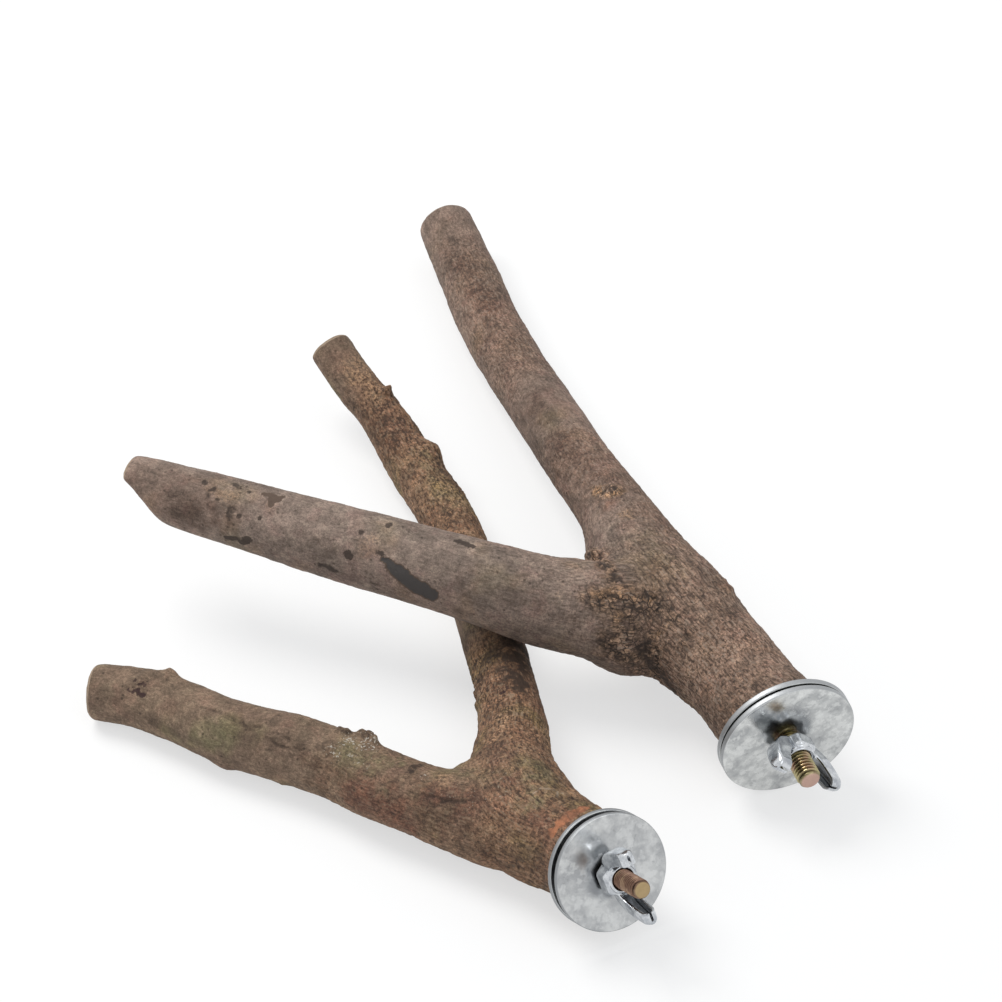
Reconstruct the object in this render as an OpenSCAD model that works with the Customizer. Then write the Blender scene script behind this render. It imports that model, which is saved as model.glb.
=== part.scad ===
// A pair of forked natural-branch perches, the large one lying across the small one.
// Each branch carries a hanger bolt, two broad washers and a stamped wing nut that clamp it to cage wire.
// Millimetres. X runs to the right, Y away from the washers and Z up. Both perches lie on the plane Z = 0.

/* [Small branch] */
// Girth across the bark at the sawn end of the small trunk
small_trunk_dia = 24.4; // [20:0.1:29]
// Girth of the small branch where its arms part
small_fork_dia = 27; // [24:0.5:32]
// Distance in plan from the small sawn end to its fork
small_trunk_len = 25; // [20:1:36]
// Girth of the small back arm at its middle
small_back_arm_dia = 15; // [11:0.5:18]
// Length in plan of the small back arm from the fork
small_back_arm_len = 192; // [160:1:230]
// Girth of the small side arm at its middle
small_side_arm_dia = 17; // [12:0.5:20]
// Length in plan of the small side arm from the fork
small_side_arm_len = 127; // [100:1:155]

/* [Large branch] */
// Girth across the bark at the sawn end of the large trunk
large_trunk_dia = 27; // [22:0.5:33]
// Girth of the large branch where its arms part
large_fork_dia = 31; // [27:0.5:36]
// Distance in plan from the large sawn end to its fork
large_trunk_len = 50.5; // [40:0.5:65]
// Girth of the large back arm at its middle
large_back_arm_dia = 16; // [13:0.5:19]
// Length in plan of the large back arm from the fork
large_back_arm_len = 189; // [160:1:230]
// Girth of the large side arm at its middle
large_side_arm_dia = 18.5; // [14:0.5:22]
// Length in plan of the large side arm from the fork
large_side_arm_len = 144.5; // [115:0.5:170]

/* [Small hardware] */
// Thread diameter of the small hanger bolt
small_bolt_dia = 5; // [4:0.1:6]
// Length of machine thread that stands out of the small sawn end
small_bolt_reach = 21.4; // [18:0.1:27]
// Depth to which the small hanger bolt is screwed into its branch
small_bolt_grip = 24; // [15:1:28]
// Outer diameter of the small washers
small_washer_dia = 30; // [26:0.5:36]
// Thickness of each small washer
small_washer_thick = 1.5; // [1:0.1:2.5]
// Width across the corners of the small wing nut's hub
small_hub_dia = 10.4; // [9.5:0.1:12]
// Height of the small wing nut's hub
small_hub_height = 5.4; // [4.5:0.1:7]
// Span of the small wing nut from tip to tip
small_wing_span = 20; // [18:0.5:25]
// Height of the small wing nut from its seat to its tips
small_wing_height = 14.3; // [11:0.1:16]
// Width of each wing of the small wing nut at its tip
small_wing_width = 3.8; // [3.4:0.1:4.6]

/* [Large hardware] */
// Thread diameter of the large hanger bolt
large_bolt_dia = 6; // [5:0.1:7]
// Length of machine thread that stands out of the large sawn end
large_bolt_reach = 18.4; // [18:0.1:27]
// Depth to which the large hanger bolt is screwed into its branch
large_bolt_grip = 34; // [20:1:42]
// Outer diameter of the large washers
large_washer_dia = 35.5; // [30:0.5:42]
// Thickness of each large washer
large_washer_thick = 1.6; // [1:0.1:2.5]
// Width across the corners of the large wing nut's hub
large_hub_dia = 10.8; // [10.4:0.1:14]
// Height of the large wing nut's hub
large_hub_height = 5; // [4.5:0.1:8]
// Span of the large wing nut from tip to tip
large_wing_span = 23; // [20:0.5:28]
// Height of the large wing nut from its seat to its tips
large_wing_height = 11.4; // [11:0.1:16]
// Width of each wing of the large wing nut at its tip
large_wing_width = 4.2; // [3.6:0.1:5]

/* [Clamp and fits] */
// Open gap between the small washers, where the cage wire goes
small_clamp_gap = 2; // [0.4:0.1:4]
// Open gap between the large washers, where the cage wire goes
large_clamp_gap = 0.6; // [0.4:0.1:4]
// Distance from the small outer washer to the seat of its wing nut
small_nut_standoff = 1; // [0.4:0.1:3]
// Distance from the large outer washer to the seat of its wing nut
large_nut_standoff = 2.2; // [0.4:0.1:3]
// Room between a sawn end and the inner washer
end_gap = 0.05; // [0.02:0.01:0.2]
// Radial clearance of a washer on the thread
washer_fit = 0.1; // [0.05:0.01:0.3]
// Radial clearance of the wing nut on the thread
nut_fit = 0.05; // [0.03:0.01:0.1]
// Gap left where the large side arm lies on the small back arm
lie_gap = 0.3; // [0.2:0.05:1]
// Thickness of the sheet that the wing nuts are stamped from
sheet_thick = 1.2; // [0.8:0.1:1.4]

/* [Lay of the perches] */
// Direction in plan in which the small hanger bolt points
small_bolt_heading = -61.4; // [-75:0.1:-40]
// Angle by which the small hanger bolt points above the floor
small_bolt_rise = 23; // [5:0.5:26]
// Direction in plan of the small trunk, from the sawn end to the fork
small_trunk_heading = 129.6; // [120:0.1:138]
// Direction in plan of the small back arm
small_back_heading = 106.7; // [98:0.1:112]
// Direction in plan of the small side arm
small_side_heading = 152.6; // [146:0.1:165]
// Direction in plan in which the large hanger bolt points
large_bolt_heading = -69.5; // [-80:0.1:-50]
// Angle by which the large hanger bolt points above the floor
large_bolt_rise = -6.5; // [-10:0.5:4]
// Direction in plan of the large trunk, from the sawn end to the fork
large_trunk_heading = 121.7; // [112:0.1:130]
// Direction in plan of the large back arm
large_back_heading = 108.4; // [100:0.1:116]
// Direction in plan of the large side arm
large_side_heading = 165; // [158:0.1:172]
// Height of the small washers' rims above the floor
small_rim_lift = 3.8; // [1:0.1:8]
// Turn of the small wing nut about its bolt
small_nut_turn = 10; // [-180:1:180]
// Turn of the large wing nut about its bolt
large_nut_turn = 50; // [-180:1:180]

/* [Hidden] */

// Smoothness of round hardware
$fn = 64;
// Overrun of the cuts, and of a trunk past its saw cut
cut_over = 1;

// Place in plan of the small sawn end, which puts the origin under the middle of the pair
small_end_x = 33.2;
small_end_y = -128;

// Sides of a limb, and rings from one row of its route to the next
limb_sides = 24;
rings_per_row = 4;

// Routes of the limbs. A row holds the way along and to the left as shares of the limb's length in plan,
// then the height and the girth. On a trunk the height is a share of the drop from the sawn end to the
// fork, and on the large side arm a share of its climb to the crossing. Elsewhere it follows the girth.
small_trunk_shares = [[0.49, -0.015, 0.59, 1]];
small_back_shares = [
    [0.06, 0.006, 0.89, 1.74], [0.126, -0.005, 0.82, 1.42], [0.2, -0.029, 0.73, 1.21],
    [0.31, -0.049, 0.63, 1.05], [0.382, -0.058, 0.59, 1.035], [0.55, -0.073, 0.53, 0.96],
    [0.69, -0.076, 0.5, 0.96], [0.805, -0.059, 0.57, 0.88], [0.9, -0.043, 0.8, 0.79],
    [0.945, -0.021, 1.07, 0.77], [1, 0, 1.47, 0.77],
];
small_side_shares = [
    [0.08, 0.013, 0.765, 1.4], [0.175, 0.024, 0.735, 1.2], [0.25, 0.021, 0.706, 1.09],
    [0.35, 0.015, 0.676, 1.08], [0.43, 0, 0.647, 1.03], [0.545, -0.004, 0.62, 1.02],
    [0.685, 0, 0.56, 0.98], [0.805, -0.014, 0.53, 0.935], [0.91, -0.019, 0.47, 0.89],
    [1, 0, 0.43, 0.85],
];
large_trunk_shares = [[0.19, 0.01, 0.13, 0.97], [0.48, -0.012, 0.42, 0.955], [0.76, -0.005, 0.7, 1.05]];
large_back_shares = [
    [0.066, 0.012, 1.31, 1.8], [0.142, 0.01, 1.31, 1.5], [0.22, 0.005, 1.28, 1.2], [0.357, 0.011, 1.12, 1.08],
    [0.5, 0.012, 0.91, 1.06], [0.625, 0.013, 0.72, 1.035], [0.75, 0.011, 0.58, 1.06], [0.9, 0, 0.53, 1.02],
    [1, 0, 0.75, 0.955],
];
large_side_shares = [
    [0.074, 0.055, 0.3, 1.51], [0.126, 0.067, 0.49, 1.37], [0.213, 0.084, 0.72, 1.29],
    [0.303, 0.087, 1, 1.19], [0.475, 0.072, 1.18, 1.09], [0.58, 0.063, 1.28, 1.04],
    [0.684, 0.052, 1.37, 1], [0.788, 0.04, 1.45, 0.957], [0.878, 0.03, 1.51, 0.925],
    [1, 0.017, 1.58, 0.83],
];
// Rows of the small back arm and of the large side arm that lie at the crossing
small_cross_row = 4;
large_cross_row = 3;
// Height of the large fork's middle as a share of its girth
large_fork_height_share = 0.66;
// Girth with which a side arm starts inside the fork, as a share of the fork's
side_root_share = 0.8;

// Swellings of a limb. Each has its way along the limb, its turn about it from the right-hand side, its
// height as a share of the radius, and its reach along the limb
small_stem_swellings = [[0.8, 0, 0.13, 0.02], [0.91, 0.15, 0.1, 0.015]];
small_side_swellings = [[0.6, 0.25, 0.13, 0.03], [0.5, 0.3, 0.09, 0.02], [0.87, 0.25, 0.16, 0.025]];
large_stem_swellings = [[0.408, 0.45, 0.17, 0.018], [0.27, 0.62, 0.11, 0.035]];
large_side_swellings = [[0.08, 0.65, 0.14, 0.06], [0.35, 0.75, 0.04, 0.05]];
// Reach of a swelling round the limb, as a share of a turn
swelling_spread_share = 0.09;
// Long swells of the bark: depth as a share of the radius, waves round the limb and waves along it
swell_depth_share = 0.02;
swell_waves_round = [2, 3];
swell_waves_along = [1.7, 2.6];
// Bevel round the far end of a limb, as a share of its girth there
tip_bevel_share = 0.07;
// Slanting cut across one side of the large side arm's end: its depth as a share of the radius, its turn about
// the arm, and the way along the arm where the rings start to follow it
large_side_slant_shares = [1.4, 0.62, 0.9];

// Lead-in without thread at the bolt's tip, and the bevel of its end, as shares of the thread's diameter
lead_dia_share = 0.9;
lead_len_share = 0.34;
lead_bevel_share = 0.08;
// Wood thread's core, its point and the plain collar above it, as shares of the thread's diameter
core_dia_share = 0.86;
core_point_share = 1.2;
collar_len_share = 0.8;
// Bevel of a washer's edges as a share of its thickness
washer_bevel_share = 0.15;
// Wing nut hub: height of its hexagon as a share of the hub's, and the bevel of its corners
hexagon_height_share = 0.8;
hexagon_bevel_share = 0.09;
// Middle of a wing from its root inside the hub to its tip: way out as a share of half the span, height as a
// share of the nut's, and depth of the folded sheet as a share of the wing's width
wing_shares = [[0.3, 0.18, 1], [0.48, 0.22, 1.05], [0.64, 0.36, 1.05], [0.75, 0.58, 1], [0.81, 0.8, 0.95],
    [0.84, 1, 0.9]];
// Width of a wing at its root as a share of that at its tip
wing_root_share = 1.4;
// Steps of a wing's curve from one row to the next
wing_steps = 3;

// Directions in plan, and the direction of a bolt
function ahead(heading) = [cos(heading), sin(heading)];
function leftward(heading) = [-sin(heading), cos(heading)];
function bolt_axis(heading, rise) = [cos(heading) * cos(rise), sin(heading) * cos(rise), sin(rise)];
function unit(v) = v / norm(v);
function spot(row) = [row[0], row[1], row[2]];
function plan(row) = [row[0], row[1]];
function last(list) = list[len(list) - 1];

// Smooth way through the rows of a route, which has one spare row before its start and one past its end
function between(a, b, c, d, t) =
    b + t * ((c - a) + t * ((2 * a - 5 * b + 4 * c - d) + t * (3 * b - a - 3 * c + d))) / 2;
function smooth(route, steps) = [
    for (i = [1 : len(route) - 3], k = [0 : steps - 1])
        between(route[i - 1], route[i], route[i + 1], route[i + 2], k / steps),
    route[len(route) - 2],
];
function with_spares(route, before) = concat([before], route, [2 * last(route) - route[len(route) - 2]]);

// Rows [x, y, height, girth] of an arm that leaves the fork in a direction
function arm_rows(from, heading, length, shares, base, climb, girth) = [
    for (s = shares)
        concat(
            plan(from) + length * (s[0] * ahead(heading) + s[1] * leftward(heading)),
            [base + s[2] * climb, s[3] * girth]
        ),
];

// Stem of a branch: the trunk from its sawn end to the fork, and the back arm on from there
function stem_rows(end, fork, trunk_heading, trunk_len, trunk_shares, back_rows) = concat(
    [end],
    arm_rows(end, trunk_heading, trunk_len, trunk_shares, end[2], fork[2] - end[2], end[3]),
    [fork],
    back_rows
);
function stem_path(rows, axis) =
    let (before = spot(rows[0]) + axis * norm(spot(rows[1]) - spot(rows[0])))
    smooth(with_spares(rows, concat(before, [rows[0][3]])), rings_per_row);
// Side arm, from its root inside the fork
function side_path(fork, rows) =
    let (root = concat(spot(fork), [side_root_share * fork[3]]))
    smooth(with_spares(concat([root], rows), 2 * root - rows[0]), rings_per_row);

// Distance from the sawn end to the seat of the outer washer, to its outer face and to the seat of the nut
small_outer_seat = end_gap + small_washer_thick + small_clamp_gap;
small_stack = small_outer_seat + small_washer_thick;
small_nut_seat = small_stack + small_nut_standoff;
large_outer_seat = end_gap + large_washer_thick + large_clamp_gap;
large_stack = large_outer_seat + large_washer_thick;
large_nut_seat = large_stack + large_nut_standoff;

// Small perch: it rests on the belly of its fork and on its arms
small_end = [
    small_end_x, small_end_y, small_rim_lift + cos(small_bolt_rise) * small_washer_dia / 2, small_trunk_dia
];
small_fork = concat(
    plan(small_end) + small_trunk_len * ahead(small_trunk_heading), [small_fork_dia / 2, small_fork_dia]
);
small_axis = bolt_axis(small_bolt_heading, small_bolt_rise);
small_back_rows = arm_rows(small_fork, small_back_heading, small_back_arm_len, small_back_shares,
    0, small_back_arm_dia, small_back_arm_dia);
small_stem = stem_path(
    stem_rows(small_end, small_fork, small_trunk_heading, small_trunk_len,
        small_trunk_shares, small_back_rows),
    small_axis
);
small_side = side_path(
    small_fork,
    arm_rows(small_fork, small_side_heading, small_side_arm_len, small_side_shares,
        0, small_side_arm_dia, small_side_arm_dia)
);

// Large perch: it rests on its washers' rims, on its back arm and on the small back arm, where they cross
large_axis = bolt_axis(large_bolt_heading, large_bolt_rise);
large_fork_height = large_fork_height_share * large_fork_dia;
large_fork_from_end = large_trunk_len * ahead(large_trunk_heading);
large_cross_shares = large_side_shares[large_cross_row];
large_cross_from_fork = large_side_arm_len
    * (large_cross_shares[0] * ahead(large_side_heading) + large_cross_shares[1] * leftward(large_side_heading));
large_end = concat(
    plan(small_back_rows[small_cross_row]) - large_cross_from_fork - large_fork_from_end,
    [
        cos(large_bolt_rise) * max(large_washer_dia, large_trunk_dia) / 2
            + max(0, -sin(large_bolt_rise)) * large_stack,
        large_trunk_dia,
    ]
);
large_fork = concat(plan(large_end) + large_fork_from_end, [large_fork_height, large_fork_dia]);
large_back_rows = arm_rows(large_fork, large_back_heading, large_back_arm_len, large_back_shares,
    0, large_back_arm_dia, large_back_arm_dia);
large_stem = stem_path(
    stem_rows(large_end, large_fork, large_trunk_heading, large_trunk_len,
        large_trunk_shares, large_back_rows),
    large_axis
);
function large_side_climbing(climb) = side_path(
    large_fork,
    arm_rows(large_fork, large_side_heading, large_side_arm_len, large_side_shares,
        large_fork_height, climb, large_side_arm_dia)
);
// Climb of the large side arm to the crossing, which clears the small stem by the gap at every pair of rings
large_side_flat = large_side_climbing(0);
large_side_unit = large_side_climbing(1);
function climb_over(low, over, share) =
    let (reach = (low[3] + over[3]) * (1 + 2 * swell_depth_share) / 2 + lie_gap)
    let (away = norm(plan(low) - plan(over)))
    share > 0 && away < reach ? (low[2] + sqrt(reach * reach - away * away) - over[2]) / share : 0;
large_side_climb = max([
    for (low = small_stem, i = [0 : len(large_side_flat) - 1])
        climb_over(low, large_side_flat[i], large_side_unit[i][2] - large_side_flat[i][2]),
]);
large_side = large_side_climbing(large_side_climb);

// Radius of the bark at a way along the limb and a turn about it, as a share of the limb's radius
function swells(way, turn) =
    1 + swell_depth_share * (
        sin(360 * (swell_waves_round[0] * turn + swell_waves_along[0] * way))
        + sin(360 * (swell_waves_round[1] * turn - swell_waves_along[1] * way))
    ) / 2;
function turn_apart(a, b) = let (apart = abs(a - b)) min(apart, 1 - apart);
function swelling(s, way, turn) =
    s[2] * exp(-pow((way - s[0]) / s[3], 2) - pow(turn_apart(turn, s[1]) / swelling_spread_share, 2));
function bark(way, turn, swellings) =
    swells(way, turn) + max(concat([0], [for (s = swellings) swelling(s, way, turn)]));

// One ring of a limb, square to its direction
function limb_ring(middle, direction, girth, way, swellings, slant) =
    let (right = unit(cross(direction, [0, 0, 1])), up = cross(right, direction))
    let (lean = slant[0] * max(0, (way - slant[2]) / (1 - slant[2])))
    [
        for (k = [0 : limb_sides - 1])
            let (turn = k / limb_sides)
            middle + girth / 2 * (
                bark(way, turn, swellings) * (cos(360 * turn) * right + sin(360 * turn) * up)
                - lean * max(0, cos(360 * (turn - slant[1]))) * direction
            ),
    ];
function direction_at(path, i) =
    unit(spot(path[min(i + 1, len(path) - 1)]) - spot(path[max(i - 1, 0)]));
function limb_rings(path, start, swellings, slant = [0, 0, 0]) =
    let (n = len(path) - 1, tip = path[n], out = direction_at(path, n), bevel = tip_bevel_share * tip[3])
    [
        for (i = [0 : n - 1])
            i == 0
                ? limb_ring(spot(path[0]) - cut_over * start, start, path[0][3], 0, swellings, slant)
                : limb_ring(spot(path[i]), direction_at(path, i), path[i][3], i / n, swellings, slant),
        limb_ring(spot(tip) - bevel * out, out, tip[3], 1, swellings, slant),
        limb_ring(spot(tip), out, tip[3] - 2 * bevel, 1, swellings, slant),
    ];

// Closed skin over a row of rings that all have as many points
module skin(rings) {
    sides = len(rings[0]);
    n = len(rings);
    walls = [
        for (i = [0 : n - 2], k = [0 : sides - 1])
            let (next = (k + 1) % sides)
            [i * sides + k, i * sides + next, (i + 1) * sides + next, (i + 1) * sides + k],
    ];
    near_end = [for (k = [sides - 1 : -1 : 0]) k];
    far_end = [for (k = [0 : sides - 1]) (n - 1) * sides + k];
    polyhedron([for (ring = rings, p = ring) p], concat(walls, [near_end, far_end]));
}

// Puts a piece on a bolt: Z = 0 at the sawn end and +Z out of the branch
module on_bolt(end, heading, rise) {
    translate(spot(end))
        rotate([0, 90 - rise, heading])
            children();
}

module bolt_form(dia, reach, grip) {
    lead_r = lead_dia_share * dia / 2;
    core_r = core_dia_share * dia / 2;
    bevel = lead_bevel_share * dia;
    collar = collar_len_share * dia;
    rotate_extrude()
        polygon([
            [0, -grip],
            [core_r, core_point_share * dia - grip],
            [core_r, -collar],
            [dia / 2, -collar],
            [dia / 2, reach - lead_len_share * dia],
            [lead_r, reach - lead_len_share * dia],
            [lead_r, reach - bevel],
            [lead_r - bevel, reach],
            [0, reach],
        ]);
}

// What is taken off past the saw cut, which leaves a flat face for the inner washer
module saw_waste(dia) {
    cylinder(h = 2 * cut_over + dia / 2, r = dia);
}

module washer_form(dia, thick, hole_r) {
    bevel = washer_bevel_share * thick;
    rotate_extrude()
        polygon([
            [hole_r, 0],
            [dia / 2 - bevel, 0],
            [dia / 2, bevel],
            [dia / 2, thick - bevel],
            [dia / 2 - bevel, thick],
            [hole_r, thick],
        ]);
}

// Side view of a wing along its middle. One side lies out from the middle by a share of the sheet's depth,
// and the other side lies in from it, with an overrun
function wing_square(path, i) =
    let (along = unit(path[min(i + 1, len(path) - 1)] - path[max(i - 1, 0)])) [along[1], -along[0]];
function wing_side(path, offsets) = [
    for (i = [0 : len(path) - 1]) plan(path[i]) + offsets[i] * wing_square(path, i),
];

// A wing of folded sheet: a channel that is open towards the bolt, wide at its root and rounded at its tip
module wing(hub_r, span, height, width) {
    middle = smooth(
        with_spares(
            [for (w = wing_shares) [w[0] * span / 2, w[1] * height, w[2] * width]],
            [0, wing_shares[0][1] * height, wing_shares[0][2] * width]
        ),
        wing_steps
    );
    back = wing_side(middle, [for (m = middle) m[2] / 2]);
    front = wing_side(middle, [for (m = middle) -m[2] / 2]);
    groove_back = wing_side(middle, [for (m = middle) m[2] / 2 - sheet_thick]);
    groove_front = wing_side(middle, [for (m = middle) -m[2] / 2 - cut_over]);
    beyond = [0, cut_over];
    root_width = wing_root_share * width;
    difference() {
        intersection() {
            rotate([90, 0, 0])
                linear_extrude(height = root_width, center = true)
                    polygon(concat(back, [for (i = [len(front) - 1 : -1 : 0]) front[i]]));
            rotate([90, 0, 90])
                linear_extrude(height = span)
                    union() {
                        translate([0, height - width / 2])
                            circle(d = width);
                        polygon([
                            [-root_width / 2, 0],
                            [root_width / 2, 0],
                            [width / 2, height - width / 2],
                            [-width / 2, height - width / 2],
                        ]);
                    }
        }
        rotate([90, 0, 0])
            linear_extrude(height = width - 2 * sheet_thick, center = true)
                polygon(concat(
                    groove_back,
                    [last(groove_back) + beyond, last(groove_front) + beyond],
                    [for (i = [len(groove_front) - 1 : -1 : 0]) groove_front[i]]
                ));
    }
}

module wing_nut_form(bolt_dia, hub_dia, hub_height, span, height, width) {
    hub_r = hub_dia / 2;
    hexagon_height = hexagon_height_share * hub_height;
    bevel = hexagon_bevel_share * hub_dia;
    bore_r = bolt_dia / 2 + nut_fit;
    difference() {
        union() {
            intersection() {
                cylinder(h = hexagon_height, r = hub_r, $fn = 6);
                rotate_extrude()
                    polygon([
                        [0, 0],
                        [hub_r - bevel, 0],
                        [hub_r, bevel],
                        [hub_r, hexagon_height - bevel],
                        [hub_r - bevel, hexagon_height],
                        [0, hexagon_height],
                    ]);
            }
            cylinder(h = hub_height, r = bore_r + sheet_thick);
            for (turn = [0, 180])
                rotate(turn)
                    wing(hub_r, span, height, width);
        }
        translate([0, 0, -cut_over])
            cylinder(h = hub_height + height + 2 * cut_over, r = bore_r);
    }
}

module small_branch() {
    color("rosybrown")
        difference() {
            union() {
                skin(limb_rings(small_stem, -small_axis, small_stem_swellings));
                skin(limb_rings(small_side, direction_at(small_side, 0), small_side_swellings));
            }
            on_bolt(small_end, small_bolt_heading, small_bolt_rise) {
                saw_waste(small_trunk_dia);
                bolt_form(small_bolt_dia, small_bolt_reach, small_bolt_grip);
            }
        }
}

module small_hanger_bolt() {
    color("darkgoldenrod")
        on_bolt(small_end, small_bolt_heading, small_bolt_rise)
            bolt_form(small_bolt_dia, small_bolt_reach, small_bolt_grip);
}

module small_inner_washer() {
    color("silver")
        on_bolt(small_end, small_bolt_heading, small_bolt_rise)
            translate([0, 0, end_gap])
                washer_form(small_washer_dia, small_washer_thick, small_bolt_dia / 2 + washer_fit);
}

module small_outer_washer() {
    color("lightsteelblue")
        on_bolt(small_end, small_bolt_heading, small_bolt_rise)
            translate([0, 0, small_outer_seat])
                washer_form(small_washer_dia, small_washer_thick, small_bolt_dia / 2 + washer_fit);
}

module small_wing_nut() {
    color("gainsboro")
        on_bolt(small_end, small_bolt_heading, small_bolt_rise)
            translate([0, 0, small_nut_seat])
                rotate(small_nut_turn)
                    wing_nut_form(small_bolt_dia, small_hub_dia, small_hub_height,
                        small_wing_span, small_wing_height, small_wing_width);
}

module large_branch() {
    color("tan")
        difference() {
            union() {
                skin(limb_rings(large_stem, -large_axis, large_stem_swellings));
                skin(limb_rings(large_side, direction_at(large_side, 0), large_side_swellings,
                    large_side_slant_shares));
            }
            on_bolt(large_end, large_bolt_heading, large_bolt_rise) {
                saw_waste(large_trunk_dia);
                bolt_form(large_bolt_dia, large_bolt_reach, large_bolt_grip);
            }
        }
}

module large_hanger_bolt() {
    color("darkgoldenrod")
        on_bolt(large_end, large_bolt_heading, large_bolt_rise)
            bolt_form(large_bolt_dia, large_bolt_reach, large_bolt_grip);
}

module large_inner_washer() {
    color("silver")
        on_bolt(large_end, large_bolt_heading, large_bolt_rise)
            translate([0, 0, end_gap])
                washer_form(large_washer_dia, large_washer_thick, large_bolt_dia / 2 + washer_fit);
}

module large_outer_washer() {
    color("lightsteelblue")
        on_bolt(large_end, large_bolt_heading, large_bolt_rise)
            translate([0, 0, large_outer_seat])
                washer_form(large_washer_dia, large_washer_thick, large_bolt_dia / 2 + washer_fit);
}

module large_wing_nut() {
    color("gainsboro")
        on_bolt(large_end, large_bolt_heading, large_bolt_rise)
            translate([0, 0, large_nut_seat])
                rotate(large_nut_turn)
                    wing_nut_form(large_bolt_dia, large_hub_dia, large_hub_height,
                        large_wing_span, large_wing_height, large_wing_width);
}

small_branch();
small_hanger_bolt();
small_inner_washer();
small_outer_washer();
small_wing_nut();
large_branch();
large_hanger_bolt();
large_inner_washer();
large_outer_washer();
large_wing_nut();
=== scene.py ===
"""Looks of a pair of forked branch perches and their clamp hardware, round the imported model."""

import math

import bmesh
import bpy
import numpy as np
from mathutils import Matrix, Vector


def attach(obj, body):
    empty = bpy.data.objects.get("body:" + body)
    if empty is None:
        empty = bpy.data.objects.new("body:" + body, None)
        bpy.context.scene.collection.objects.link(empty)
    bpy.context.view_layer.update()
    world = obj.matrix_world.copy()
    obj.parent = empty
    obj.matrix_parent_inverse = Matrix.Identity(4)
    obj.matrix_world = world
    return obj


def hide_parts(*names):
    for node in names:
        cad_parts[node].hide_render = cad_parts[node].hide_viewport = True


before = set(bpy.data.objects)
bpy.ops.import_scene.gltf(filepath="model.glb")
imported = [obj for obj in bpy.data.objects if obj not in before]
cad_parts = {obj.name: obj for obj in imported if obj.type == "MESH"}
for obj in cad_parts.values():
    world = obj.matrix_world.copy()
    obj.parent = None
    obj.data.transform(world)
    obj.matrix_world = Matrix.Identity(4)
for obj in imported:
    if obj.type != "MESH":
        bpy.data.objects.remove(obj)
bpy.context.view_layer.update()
MM = 0.001

# -------- sizes, in millimetres and degrees

# Routes of the limbs, row by row, as in the part's source: way along and way to the left as shares of
# the limb's length, then height and girth as shares of its climb and girth.
SMALL_TRUNK = [(0.49, -0.015, 0.59, 1)]
SMALL_BACK = [
    (0.06, 0.006, 0.89, 1.74), (0.126, -0.005, 0.82, 1.42), (0.2, -0.029, 0.73, 1.21),
    (0.31, -0.049, 0.63, 1.05), (0.382, -0.058, 0.59, 1.035), (0.55, -0.073, 0.53, 0.96),
    (0.69, -0.076, 0.5, 0.96), (0.805, -0.059, 0.57, 0.88), (0.9, -0.043, 0.8, 0.79),
    (0.945, -0.021, 1.07, 0.77), (1, 0, 1.47, 0.77),
]
SMALL_SIDE = [
    (0.08, 0.013, 0.765, 1.4), (0.175, 0.024, 0.735, 1.2), (0.25, 0.021, 0.706, 1.09),
    (0.35, 0.015, 0.676, 1.08), (0.43, 0, 0.647, 1.03), (0.545, -0.004, 0.62, 1.02),
    (0.685, 0, 0.56, 0.98), (0.805, -0.014, 0.53, 0.935), (0.91, -0.019, 0.47, 0.89), (1, 0, 0.43, 0.85),
]
LARGE_TRUNK = [
    (0.19, 0.01, 0.13, 0.97), (0.48, -0.012, 0.42, 0.955), (0.76, -0.005, 0.7, 1.05),
]
LARGE_BACK = [
    (0.066, 0.012, 1.31, 1.8), (0.142, 0.01, 1.31, 1.5), (0.22, 0.005, 1.28, 1.2),
    (0.357, 0.011, 1.12, 1.08), (0.5, 0.012, 0.91, 1.06), (0.625, 0.013, 0.72, 1.035),
    (0.75, 0.011, 0.58, 1.06), (0.9, 0, 0.53, 1.02), (1, 0, 0.75, 0.955),
]
LARGE_SIDE = [
    (0.074, 0.055, 0.3, 1.51), (0.126, 0.067, 0.49, 1.37), (0.213, 0.084, 0.72, 1.29),
    (0.303, 0.087, 1, 1.19), (0.475, 0.072, 1.18, 1.09), (0.58, 0.063, 1.28, 1.04),
    (0.684, 0.052, 1.37, 1), (0.788, 0.04, 1.45, 0.957), (0.878, 0.03, 1.51, 0.925),
    (1, 0.017, 1.58, 0.83),
]

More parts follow.
